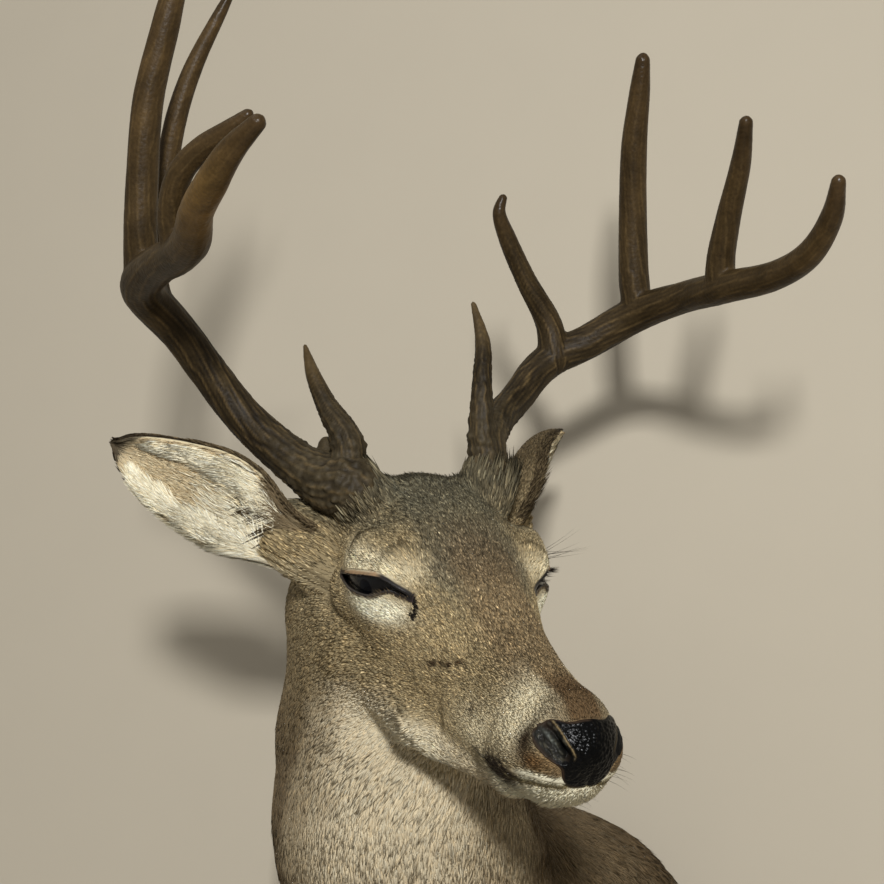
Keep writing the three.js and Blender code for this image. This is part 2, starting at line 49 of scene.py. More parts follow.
bl_info = {
    "name": "White-tailed Buck Shoulder Mount",
    "version": (1, 0, 0),
    "blender": (4, 5, 0),
    "location": "View3D > Sidebar > Buck Mount",
    "description": "Builds the skin, coat, eyes, nose, ears, antlers and board of a mounted buck",
    "category": "Add Mesh",
}

MM = 0.001

# ---- the head's place and the masses of the body, in millimetres, as in the solids ----
EYE_MIDPOINT = np.array([23.2, -337.2, 358.3])
HEAD_AZIMUTH, HEAD_PITCH, HEAD_ROLL = np.radians([44.3, -19.8, 6.5])
# forward, top, bottom, half width, widest level, upper squareness, lower squareness
HEAD_STATIONS = np.array([
    [-120, 34, -104, 44, -20, 2.0, 2.0],
    [-80, 52, -104, 50, -14, 2.1, 2.0],
    [-50, 58, -104, 53, -12, 2.3, 1.9],
    [-20, 54, -104, 56, -12, 2.5, 1.8],
    [10, 44, -100, 54, -14, 2.5, 1.8],
    [40, 30, -96, 44, -20, 2.2, 1.9],
    [80, 11, -92, 32, -32, 1.9, 2.0],
    [120, -5, -88, 27, -42, 1.8, 2.1],
    [150, -13, -85, 26, -48, 1.8, 2.2],
    [175, -17, -80, 26.5, -50, 1.9, 2.3],
    [197, -24, -63, 23.5, -46, 2.1, 2.2],
])
NOSE_TIP = 196
NOSE_ROUNDING = 26
# from and to (left, forward, up of the eyes), the two radii and the blend; mirrored
HEAD_MASSES = [
    ([53, -4, 22], [45, 20, 17], 11, 9, 12),        # brow
    ([51, -14, 6], [52, -32, -7], 12.5, 13, 16),    # rim behind the eye
    ([45, -22, 16], [44, -44, 14], 12, 11, 16),     # temple
    ([50, -28, -14], [24, 72, -30], 12, 5, 18),     # cheekbone
    ([33, -42, -62], [28, 32, -80], 26, 17, 18),    # jaw muscle
    ([18, 50, -86], [10, 130, -78], 14, 12, 14),    # jaw bone
    ([46, 3, 1], [46, 4, 1], 19.6, 19.6, 18),       # lids over the eyeball
    ([15, 146, -55], [14, 174, -51], 13, 13, 10),   # upper lip, front
    ([21, 78, -60], [17, 150, -58], 6, 13, 20),     # upper lip, back
    ([8, 146, -72], [7, 165, -70], 12, 9.5, 8),     # chin
    ([34, -46, 34], [45, -54, 47], 19, 20.5, 13),   # antler pedicle
    ([48, -82, 14], [68, -84, 18], 22, 17, 20),     # ear root
]
# from and to in the mount's own frame
BODY_MASSES = [
    ([-71, -233, 352], [-64, -182, 190], 61, 75, 40),
    ([-84, -212, 262], [-80, -200, 232], 56, 62, 30),
    ([-40, -275, 336], [-28, -238, 190], 56, 75, 40),
    ([-64, -182, 190], [-10, -60, 106], 75, 112, 45),
    ([-28, -238, 190], [0, -168, 10], 75, 92, 45),
    ([0, -168, 10], [0, -112, -128], 92, 78, 45),
    ([0, -36, 76], [0, -30, -86], 140, 137, 45),
    ([72, -70, 66], [92, -112, -66], 66, 58, 40),
    ([-72, -70, 66], [-92, -112, -66], 66, 58, 40),
    ([92, -112, -66], [76, -56, -154], 58, 48, 40),
    ([-92, -112, -66], [-76, -56, -154], 58, 48, 40),
]
NECK_BLEND = 24
THROAT_PIVOT = (90, -128)
MUZZLE_CENTRE = -42
THROAT_REACH, THROAT_SHIFT = (86, 176), (0, 24)
CHEST_REACH, CHEST_SHIFT = (196, 262), (-38, 0)
RAY_LENGTH = 330.0
WALL_GAP = 19.3

# ---- the skin and its coat, by place along the body: 0 nose, 1 cheek, 2 neck, 3 wall ----
SKIN_COLUMNS = 272
SKIN_ROWS = (96, 96, 46, 64)            # over the muzzle, the face, the neck and the shoulders
PLACES = [0.0, 0.25, 1.0, 1.5, 1.8, 2.2, 3.0]
COAT_DEPTH = [0.9, 1.3, 2.0, 2.2, 2.5, 3.0, 3.6]
LOCK_LENGTH = [4.0, 5.2, 7.0, 9.5, 13.5, 18.0, 22.0]
LOCK_WIDTH = [0.6, 0.65, 0.75, 0.95, 1.2, 1.45, 1.65]
COAT_ZONES = [
    ("coat_muzzle", 0.0, 1.0, 0, 43000),
    ("coat_face_left", 1.0, 1.42, 1, 42000),
    ("coat_face_right", 1.0, 1.42, -1, 42000),
    ("coat_nape_left", 1.42, 2.0, 1, 30000),
    ("coat_nape_right", 1.42, 2.0, -1, 30000),
    ("coat_neck_left", 2.0, 2.5, 1, 34000),
    ("coat_neck_right", 2.0, 2.5, -1, 34000),
    ("coat_shoulder_left", 2.5, 3.0, 1, 20000),
    ("coat_shoulder_right", 2.5, 3.0, -1, 20000),
]
BAKE_PATCH = 0.003

# ---- eyes: along runs from the back corner to the tear duct, v is up, w is outward ----
EYE_CENTRE = np.array([46.0, 3.0, 1.0])
EYE_ALONG = np.array([-0.42, 0.907, -0.02])
LID_DEPTH = 1.1                         # depth of the coat on and round the lids
CHEEK_DIP = np.array([56.0, -50.0, -14.0])
# where the coat is as shallow as on the lids: middle, reach and fade
SHALLOW_COAT = ((EYE_CENTRE, 40, 18), (CHEEK_DIP, 22, 14))
EYE_RADIUS = 17.0
EYE_ROWS, EYE_COLUMNS = 48, 72
CORNEA_RISE = 0.7
LASHES, BROW_HAIRS, LIP_WHISKERS = 46, 9, 26        # on each side
LID_COLUMNS, LID_FLOOR_ROWS, LID_OUTER_ROWS = 160, 7, 44
LID_SPAN = (-30.0, 32.0)
UPPER_LID = ([-30, -22, -10, 0, 8, 13, 18, 22, 26, 32],
             [0.3, 2.6, 5.6, 7.6, 8.6, 8.6, 6.6, 4.0, 2.0, 0.0])
LOWER_LID = ([-30, -24, -14, -4, 5, 10.6, 14, 17, 20, 25, 32],
             [0.3, -1.6, -2.8, -3.3, -3.3, -1.9, 0.5, 2.4, 2.4, 0.4, 0.0])
LID_OVAL = (2.0, 2.5, 36.0, 16.5)       # centre and half sizes of the lids' outer edge
DUCT_SLIT = np.array([[33.5, 0.0], [37.6, -4.6], [37.6, -11.0]])

# ---- nose: directions from a point inside the muzzle, round from straight up ----
NOSE_CENTRE = np.array([0.0, 166.0, -46.0])
NOSE_EDGE = ([0, 24, 38, 46, 58, 66, 75, 84, 91, 100, 110, 120, 132, 145, 160, 180],
             [38, 39.5, 45, 60, 68, 73, 74, 63, 52, 42, 35, 33.5, 37, 42, 44, 42])
NOSTRIL = (22.6, -40.0, 0.42, 0.907, 10.5, 6.0)     # centre, long way, half length, half width
NOSE_COLUMNS, NOSE_ROWS = 288, 84
# rows past the edge: degrees beyond it, and how deep each is tucked under the coat
NOSE_SKIRT = np.array([[1.5, 0.5], [3.0, 1.6], [4.5, 3.2], [6.0, 5.0]])
PEBBLE_SIZE = 2.1
NOSE_MIDDLE = 2.8                       # the dried nose sits this far to the left
WING = np.array([[20.4, -30.0], [18.2, -34.0], [16.3, -38.5], [13.7, -42.8], [12.2, -46.2],
                 [13.2, -49.5]])
SCRATCH = np.array([[60.0, -34.0], [68, -30.5], [75, -30.5], [86, -25.5]])
MOUTH_LINE = ([98, 112, 130, 150, 165, 177, 185, 192],
              [-63.5, -67, -68.5, -68, -66.5, -64, -64.5, -67])

# ---- ears ----
EARS = {
    "left": ([70, -78, 10], [159, -168, 66], [0.95, 0.1, -0.1]),
    "right": ([-72, -78, 9], [-195, -90, 72], [-0.35, 0.88, -0.47]),
}
# the furred base of each ear: from, to, the two radii and the blend
EAR_BASES = {
    "left": ([66, -80, 3], [84, -98, 14], 25, 20, 16),
    "right": ([-66, -80, 4], [-80, -81, 10], 26, 22, 16),
}
EAR_OPENING = (88, 62)                  # half angles of the arc at the root and past the middle
EAR_ROOT_RADIUS = 22
EAR_HALF_WIDTH = 36
EAR_BURIED = 0.16
EAR_COAT = 1.1
EAR_FILL = 0.9                          # how far the inner hair fills the cup
EAR_ROWS, EAR_COLUMNS = 84, 52
EAR_LOWER_RIM = {"left": -1, "right": 1}    # the side of each ear that hangs lower
EAR_WAVE_START = {"left": 60, "right": 61}  # phase of the waves in the long inner hair

# ---- antlers: left, forward, up and radius along each run ----
ANTLERS = {
    "left": {
        "beam": [
            [38, -46, 34, 14], [47, -54, 53, 15], [49, -60, 66, 13], [52, -69, 80, 12.5],
            [69, -90, 91, 11.5], [91, -110, 102, 11.5], [120, -124, 127, 12.5],
            [150, -116, 145, 12.5],
            [175, -96, 167, 13], [185, -55, 182, 11], [185, -5, 193, 11], [191, 45, 205, 9.5],
            [190, 80, 221, 8.5], [185, 104, 244, 7], [176, 119, 265, 4.4],
        ],
        "brow_tine": [
            [48, -58, 62, 10], [45, -63, 84, 9.5], [47, -74, 118, 6.5], [52, -88, 143, 5.5],
            [51, -106, 169, 2],
        ],
        "second_tine": [
            [126, -122, 130, 12], [121, -126, 155, 9.5], [102, -128, 184, 7.5],
            [84, -128, 214, 6.5], [75, -126, 232, 4.8], [77, -125, 243, 3],
        ],
        "third_tine": [
            [176, -96, 168, 10.8], [172, -98, 190, 11], [166, -98, 238, 10],
            [159, -92, 284, 9.2], [155, -84, 322, 7.2], [153, -80, 343, 5],
        ],
        "fourth_tine": [
            [185, -8, 194, 10.6], [181, -4, 212, 9.5], [176, 8, 240, 8.2], [168, 28, 274, 6.6],
            [159, 43, 299, 4.4],
        ],
    },
    "right": {
        "beam": [
            [-38, -46, 32, 14], [-49, -54, 50, 20], [-60, -66, 51, 19], [-76, -85, 60, 14.5],
            [-104, -114, 85, 13], [-126, -124, 112, 12.5], [-148, -124, 139, 12.5],
            [-178, -108, 168, 14], [-181, -60, 186, 12], [-179, -20, 195, 11.5],
            [-180, 12, 205, 11.5], [-187, 48, 222, 9.5], [-188, 78, 237, 9],
            [-185, 102, 254, 7.2], [-177, 121, 269, 4.6],
        ],
        "brow_tine": [
            [-52, -60, 54, 12], [-51, -63, 78, 10.5], [-60, -82, 100, 7], [-66, -96, 119, 5],
            [-69, -106, 136, 1.8],
        ],
        "second_tine": [
            [-168, -116, 158, 11.6], [-170, -121, 185, 9], [-165, -122, 225, 7.5],
            [-159, -120, 275, 7], [-150, -118, 308, 6], [-134, -114, 346, 4],
            [-124, -112, 368, 1.6],
        ],
        "third_tine": [
            [-180, -98, 174, 12.6], [-185, -90, 200, 10.5], [-186, -88, 240, 10],
            [-185, -85, 285, 9.5], [-177, -80, 332, 8.5], [-170, -76, 372, 6],
            [-166, -74, 402, 2],
        ],
        "fourth_tine": [
            [-180, -18, 196, 9.5], [-186, -10, 220, 8.5], [-186, 6, 242, 7.5],
            [-178, 20, 256, 7], [-166, 36, 268, 5.5], [-159, 43, 276, 3.4],
        ],
        "kicker": [[-58, -76, 58, 8], [-58, -81, 69, 6.5], [-58, -84, 75, 5.5]],
    },
}
ANTLER_SIDES = 20
ANTLER_STEP = 3.0
ANTLER_VOXEL = 1.3
BATCH = 20000                           # vertices measured against the runs at a time
PEARL_SIZE = 5.2

# ---- stage and camera ----
CAMERA_PLACE = (0.345, -1.290, 0.230)
CAMERA_RIGHT = (0.9466, 0.3211, 0.0287)
CAMERA_DOWN = (-0.0416, 0.2099, -0.9768)
CAMERA_LENS = 65.16
STAGE_REACH, WALL_PLANE, CEILING_LEVEL = 6, 0.001, 4        # metres


# ======== small helpers ========
def unit(v):
    """v scaled to length one, row by row."""
    return v / np.maximum(np.linalg.norm(v, axis=-1, keepdims=True), 1e-12)


def mix(a, b, t):
    """The value a share t of the way from a to b."""
    return a + (b - a) * t


def smooth(t):
    """3t^2 - 2t^3 of t held between 0 and 1."""
    t = np.clip(t, 0, 1)
    return t * t * (3 - 2 * t)


def bell(t):
    """exp(-t^2), a soft hump one wide."""
    return np.exp(-t * t)


def hermite(a, slope_a, b, slope_b, t):
    """The cubic from a to b with those slopes at its ends, a share t of the way."""
    near = a * (2 * t**3 - 3 * t**2 + 1) + slope_a * (t**3 - 2 * t**2 + t)
    return near + b * (3 * t**2 - 2 * t**3) + slope_b * (t**3 - t**2)


def softened_loop(values, reach):
    """A closed run of values, each averaged with its neighbours up to reach away."""
    kernel = np.hanning(2 * reach + 3)[1:-1]
    wrapped = np.concatenate([values[-reach:], values, values[:reach]])
    return np.convolve(wrapped, kernel / kernel.sum(), "valid")


def turned(v, axis, angle):
    """v turned about a unit axis, each angle giving a row: v cos + (axis x v) sin + rest."""
    angle = np.asarray(angle)[..., None]
    along = (v * axis).sum(-1, keepdims=True) * axis
    return v * np.cos(angle) + np.cross(axis, v) * np.sin(angle) + along * (1 - np.cos(angle))


def colour(red, green, blue):
    """A colour written in screen values of 0 to 255, as linear light."""
    c = np.array([red, green, blue], float) / 255
    return np.where(c <= 0.04045, c / 12.92, ((c + 0.055) / 1.055) ** 2.4)


FORWARD = np.array([
    np.cos(HEAD_PITCH) * np.sin(HEAD_AZIMUTH),
    -np.cos(HEAD_PITCH) * np.cos(HEAD_AZIMUTH),
    np.sin(HEAD_PITCH),
])
LEFT = turned(unit(np.cross([0, 0, 1], FORWARD)), FORWARD, HEAD_ROLL)
UP = np.cross(FORWARD, LEFT)
HEAD_AXES = np.array([LEFT, FORWARD, UP])


def from_head(p):
    """Left, forward and up of the eyes, as a place in the mount's frame."""
    return EYE_MIDPOINT + np.asarray(p, float) @ HEAD_AXES


def to_head(p):
    """A place in the mount's frame as left, forward and up of the eyes."""
    return (p - EYE_MIDPOINT) @ HEAD_AXES.T


def cell_noise(p, size, seed):
    """Distance to the nearest of one random point per cube of that size, over the size."""
    cell = np.floor(p / size)
    best = np.full(len(p), 9.0)
    for step in np.ndindex(3, 3, 3):
        corner = cell + np.array(step) - 1
        mixed = corner @ np.array([127.1, 311.7, 74.7]) + seed
        jitter = np.stack([np.sin(mixed * k) * 43758.5453 for k in (1.0, 1.37, 1.91)], 1)
        point = corner + jitter - np.floor(jitter)
        best = np.minimum(best, np.linalg.norm(p / size - point, axis=1))
    return best


def wave_noise(p, size, seed, layers=4):
    """Soft noise from -1 to 1: sines along random directions, each finer and weaker."""
    rng = np.random.default_rng(seed)
    total = np.zeros(len(p))
    for layer in range(layers * 3):
        fine = 1.7 ** (layer // 3)
        way = unit(rng.normal(size=3)) * (2 * np.pi * fine / size)
        total += np.sin(p @ way + rng.uniform(0, 2 * np.pi)) / fine
    return total / 3.2


# ======== the body as one field ========
def station_table():
    """The head's six section measures every millimetre, by cubics with central slopes."""
    at = HEAD_STATIONS[:, 0]
    forward = np.arange(at[0], at[-1] + 0.5)
    i = np.clip(np.searchsorted(at, forward, side="right") - 1, 0, len(at) - 2)
    before, after = np.maximum(i - 1, 0), np.minimum(i + 2, len(at) - 1)
    span = (at[i + 1] - at[i])[:, None]
    t = (forward - at[i])[:, None] / span
    y = HEAD_STATIONS[:, 1:]
    slope_here = (y[i + 1] - y[before]) / (at[i + 1] - at[before])[:, None] * span
    slope_next = (y[after] - y[i]) / (at[after] - at[i])[:, None] * span
    return forward, hermite(y[i], slope_here, y[i + 1], slope_next, t)


STATION_FORWARD, STATION_TABLE = station_table()


def head_loft(local):
    """Sections of two half super-ellipses, (x/a)^n + (z/b)^n = 1, along the head."""
    left, forward, up = local.T
    top, bottom, half, level, upper, lower = (
        np.interp(forward, STATION_FORWARD, column) for column in STATION_TABLE.T
    )
    closing = np.clip((forward - NOSE_TIP + NOSE_ROUNDING) / NOSE_ROUNDING, 0, 0.999)
    taper = np.sqrt(1 - closing**2)
    above = up > level
    height = np.where(above, top - level, level - bottom)
    power = np.where(above, upper, lower)
    across = np.maximum(np.abs(left) / (half * taper), 1e-6)
    rise = np.maximum(np.abs(up - level) / (height * taper), 1e-6)
    rho = (across**power + rise**power) ** (1 / power)
    spread = np.hypot(left, up - level)
    section = spread - spread / np.maximum(rho, 1e-6)
    beyond = np.maximum(np.maximum(forward - NOSE_TIP, STATION_FORWARD[0] - forward), 0)
    return np.where(beyond > 0, np.hypot(np.maximum(section, 0), beyond), section)


def round_cone(p, a, b, radius_a, radius_b):
    """Distance to the line from a to b, less a radius that runs from one end's to the other's."""
    a, b = np.asarray(a, float), np.asarray(b, float)
    axis = b - a
    t = np.clip((p - a) @ axis / (axis @ axis), 0, 1)
    return np.linalg.norm(p - a - t[:, None] * axis, axis=1) - mix(radius_a, radius_b, t)


def smooth_min(x, y, blend):
    """The lesser of two fields, rounded off where they are within blend of each other."""
    h = np.maximum(blend - np.abs(x - y), 0) / blend
    return np.minimum(x, y) - h * h * blend / 4


def hide_field(p):
    """Negative inside the animal, zero on the tips of its coat, and about a distance near it."""
    local = to_head(p)
    head = head_loft(local)
    for *cone, blend in EAR_BASES.values():
        head = smooth_min(head, round_cone(local, *cone), blend)
    local[:, 0] = np.abs(local[:, 0])
    for *cone, blend in HEAD_MASSES:
        head = smooth_min(head, round_cone(local, *cone), blend)
    trunk = np.full(len(p), RAY_LENGTH)
    for *cone, blend in BODY_MASSES:
        trunk = smooth_min(trunk, round_cone(p, *cone), blend)
    return smooth_min(head, trunk, NECK_BLEND)


def cast(field, start, direction, inside, outside, steps=18):
    """Halves each ray's stretch until it meets the zero of the field."""
    inside = np.broadcast_to(inside, len(start)).astype(float)
    outside = np.broadcast_to(outside, len(start)).astype(float)
    for _ in range(steps):
        middle = (inside + outside) / 2
        within = field(start + direction * middle[:, None]) < 0
        inside = np.where(within, middle, inside)
        outside = np.where(within, outside, middle)
    return inside


THROAT_LINE = from_head([0, *THROAT_PIVOT])
SHARED_NORMAL = unit(np.cross(LEFT, [1, 0, 0]))
CHEST_LINE = np.array([
    0,
    -WALL_GAP,
    THROAT_LINE[2] - SHARED_NORMAL[1] * (-WALL_GAP - THROAT_LINE[1]) / SHARED_NORMAL[2],
])
THROAT_END = np.cross(LEFT, SHARED_NORMAL)
CHEST_START = unit(CHEST_LINE - [0, *THROAT_LINE[1:]])
THROAT_SWEEP = np.arccos(UP @ THROAT_END)
CHEST_SWEEP = np.arccos(CHEST_START[2])
TWIST = np.arctan2(
    np.cross(THROAT_END, CHEST_START) @ np.cross(THROAT_END, LEFT),
    THROAT_END @ CHEST_START,
)


def ring_frames(u):
    """Rings square to the muzzle, then fanned about a line under the throat, then about one on
    the board: each one's centre, top and side ways, the way to its line and how far that is."""
    spread = smooth((u - 1) / 2)
    forward = mix(NOSE_TIP, THROAT_PIVOT[0], u)
    muzzle_centre = EYE_MIDPOINT + forward[:, None] * FORWARD + MUZZLE_CENTRE * UP

    t = np.clip(u - 1, 0, 1)
    radial = turned(UP, LEFT, -THROAT_SWEEP * t)
    normal = np.cross(radial, LEFT)
    throat_reach = mix(*THROAT_REACH, smooth(t))[:, None]
    throat_centre = THROAT_LINE + radial * throat_reach
    throat_centre = throat_centre + mix(*THROAT_SHIFT, smooth(t))[:, None] * LEFT
    throat_top = turned(radial, normal, TWIST * spread)
    throat_side = np.cross(normal, throat_top)

    t = np.clip(u - 2, 0, 1)
    elevation = np.pi / 2 - CHEST_SWEEP * (1 - t)
    upward = np.stack([np.zeros_like(t), np.cos(elevation), np.sin(elevation)], 1)
    normal = np.cross(upward, [1, 0, 0])
    chest_reach = mix(*CHEST_REACH, smooth(t))[:, None]
    shift = mix(*CHEST_SHIFT, smooth(t))[:, None] * np.array([1.0, 0, 0])
    chest_centre = CHEST_LINE - upward * chest_reach + shift
    chest_top = turned(upward, normal, -TWIST * (1 - spread))
    chest_side = np.cross(normal, chest_top)

    def pick(a, b, c):
        return np.where((u <= 1)[:, None], a, np.where((u <= 2)[:, None], b, c))

    centre = pick(muzzle_centre, throat_centre, chest_centre)
    top = pick(UP, throat_top, chest_top)
    side = pick(LEFT, throat_side, chest_side)
    way = pick(np.zeros(3), radial, -upward)
    return centre, top, side, way, pick(1.0, throat_reach, chest_reach)[:, 0]


# ======== eye, lid and nose coordinates ========
EYE_OUT = unit(np.cross(EYE_ALONG, [0, 0, 1.0]))
EYE_UP = unit(np.cross(EYE_OUT, EYE_ALONG))
EYE_AXES = np.array([unit(EYE_ALONG), EYE_UP, EYE_OUT])


def eye_chart(local, side):
    """Along, up and outward of one eye's centre, for places in the head's frame."""
    return (local * [side, 1, 1] - EYE_CENTRE) @ EYE_AXES.T


def from_eye_chart(chart, side):
    """The place in the mount's frame of along, up and outward of one eye's centre."""
    return from_head((EYE_CENTRE + chart @ EYE_AXES) * [side, 1, 1])


def lid_gap(a, v):
    """How far a place lies outside the opening between the lids; negative within it."""
    upper = np.interp(a, *UPPER_LID)
    lower = np.interp(a, *LOWER_LID)
    return np.maximum(np.maximum(v - upper, lower - v), np.abs(a - 1) - 31)


def distance_to_path(x, y, path):
    """Distance in the plane to the nearest of a path's straight stretches."""
    p = np.stack([x, y], -1)
    best = np.full(p.shape[:-1], 1e3)
    for a, b in zip(path[:-1], path[1:]):
        t = np.clip((p - a) @ (b - a) / ((b - a) @ (b - a)), 0, 1)
        best = np.minimum(best, np.linalg.norm(p - a - t[..., None] * (b - a), axis=-1))
    return best


def nose_chart(local):
    """Angle from straight ahead and angle round from straight up, both in degrees."""
    d = local - NOSE_CENTRE
    away = np.degrees(np.arctan2(np.hypot(d[..., 0], d[..., 2]), d[..., 1]))
    round_top = np.degrees(np.arctan2(np.abs(d[..., 0]), d[..., 2]))
    return away, round_top


def nose_margin(local):
    """How many degrees a place lies outside the bare nose; negative on it."""
    away, round_top = nose_chart(local)
    return away - np.interp(round_top, *NOSE_EDGE)


# ======== the skin's grid ========
def skin_places():
    """Rings closest at the nose, even over the face, and wider toward the wall."""
    muzzle, face, neck, shoulder = SKIN_ROWS
    return np.concatenate([
        (np.arange(muzzle) / muzzle) ** 1.5,
        1 + 0.55 * np.arange(face) / face,
        1.55 + 0.45 * np.arange(neck) / neck,
        2 + np.arange(shoulder + 1) / shoulder,
    ])


def grid_normals(points):
    """Cross product of the two ways along a grid that is closed round its columns."""
    along = np.gradient(points, axis=0)
    around = np.roll(points, -1, axis=1) - np.roll(points, 1, axis=1)
    return unit(np.cross(around, along))


def sculpt(points, normals):
    """Sinks the skin under the nose and behind the eyes, and cuts the mouth and the duct."""
    shape = points.shape
    p, n = points.reshape(-1, 3).copy(), normals.reshape(-1, 3)
    local = to_head(p)
    near = local[:, 1] > 90
    groove = local[:, 2] - np.interp(local[:, 1], *MOUTH_LINE)
    cut = 1.6 * bell(groove / 1.3) * smooth((local[:, 1] - 100) / 12) * near
    ridge = 1.0 * bell((groove - 3.4) / 2.4) * smooth((local[:, 1] - 108) / 12) * near
    p = p + n * (ridge - cut)[:, None]
    for side in (1, -1):
        a, v, w = eye_chart(local, side).T
        centre_a, centre_v, half_a, half_v = LID_OVAL
        rho = np.hypot((a - centre_a) / half_a, (v - centre_v) / half_v)
        facing = (w > -12) & (np.sign(local[:, 0]) == side)
        sink = 1.4 * smooth((1 - rho) / 0.2) * facing
        sink = sink + 13 * smooth((0.6 - lid_gap(a, v)) / 1.2) * facing
        out = EYE_OUT * [side, 1, 1] @ HEAD_AXES
        p = p - sink[:, None] * out
        slit = distance_to_path(a, v, DUCT_SLIT)
        p = p - (2.4 * bell(slit / 1.4) * facing)[:, None] * n
    margin = nose_margin(local)
    on_nose = (local[:, 1] > 150) * smooth(-margin / 7)
    inward = unit(from_head(NOSE_CENTRE) - p)
    return (p + inward * (13 * on_nose)[:, None]).reshape(shape)


def shallow_coat(p):
    """1 over the lids and in the dip behind the cheekbone, 0 beyond their surroundings."""
    amount = np.zeros(len(p))
    for place, reach, fade in SHALLOW_COAT:
        for side in (1, -1):
            away = np.linalg.norm(p - from_head(place * [side, 1, 1]), axis=1)
            amount = np.maximum(amount, smooth((reach - away) / fade))
    return amount


def make_skin_grid():
    """Rays from each ring's centre out to the field's zero, held in by the coat's depth."""
    u = skin_places()
    centre, top, side, way, reach = ring_frames(u)
    angle = 2 * np.pi * np.arange(SKIN_COLUMNS) / SKIN_COLUMNS
    direction = top[:, None] * np.cos(angle)[:, None] + side[:, None] * np.sin(angle)[:, None]
    toward = -(direction * way[:, None]).sum(-1)
    stop = reach[:, None] / np.maximum(toward, 1e-9) - 1
    limit = np.where(toward > 0, np.minimum(RAY_LENGTH, stop), RAY_LENGTH)
    start = np.broadcast_to(centre[:, None], direction.shape)
    depth = np.broadcast_to(np.interp(u, PLACES, COAT_DEPTH)[:, None], limit.shape).ravel()

    def field(p):
        return hide_field(p) + mix(depth, LID_DEPTH, shallow_coat(p))

    rays = direction.reshape(-1, 3)
    r = cast(field, start.reshape(-1, 3), rays, 0, limit.ravel())
    points = (start.reshape(-1, 3) + rays * np.maximum(r, 0.3)[:, None]).reshape(direction.shape)
    normals = grid_normals(points)
    return {
        "u": u,
        "angle": angle,
        "smooth_points": points,
        "normals": normals,
        "points": sculpt(points, normals),
        "lie": unit(np.gradient(points, axis=0)),
    }


GRID = {}


def skin_grid():
    """The skin's grid, worked out once."""
    if not GRID:
        GRID.update(make_skin_grid())
    return GRID


# ======== markings shared by the skin and the coat ========
GREY_BROWN = colour(152, 135, 101)
FOREHEAD = colour(104, 97, 77)
CROWN = colour(90, 86, 70)
FACE_DARK = colour(95, 84, 65)
BRIDGE = colour(122, 104, 77)
NOSE_TOP = colour(108, 87, 61)
CREAM = colour(228, 215, 180)
WHITE = colour(240, 233, 205)
BLACK_BROWN = colour(58, 44, 29)
ORANGE_BROWN = colour(126, 92, 54)
NECK_SIDE = colour(160, 145, 117)
NECK_BACK = colour(104, 89, 66)
THROAT = colour(206, 192, 162)
SHOULDER = colour(92, 76, 53)
DARK = colour(24, 20, 17)
LIP_CORNER = colour(34, 24, 15)
LIP_EDGE = colour(104, 98, 66)
SCRATCH_BROWN = colour(54, 41, 26)
EAR_BROWN = colour(122, 106, 80)
EAR_BACK = colour(112, 97, 71)
EAR_EDGE = colour(44, 34, 22)
EAR_WHITE = colour(250, 246, 226)
THROAT_MIDDLE = -2.92                   # ring angle of the pale band down the throat, set toward the right side so that the brown on the throat's left side is partly painted shade of the jaw's cast shadow


class Paint:
    """Colours, and how wet each place is, that are laid over one another."""

    def __init__(self, tint, shape, wet=0.0):
        self.tints = np.zeros((*shape, 3)) + tint
        self.wet = np.zeros(shape) + wet

    def lay(self, tint, share, wet=0.0):
        """Covers what is there by a share from 0 to 1."""
        share = np.clip(share, 0, 1)
        self.tints = mix(self.tints, tint, share[..., None])
        self.wet = mix(self.wet, wet, share)


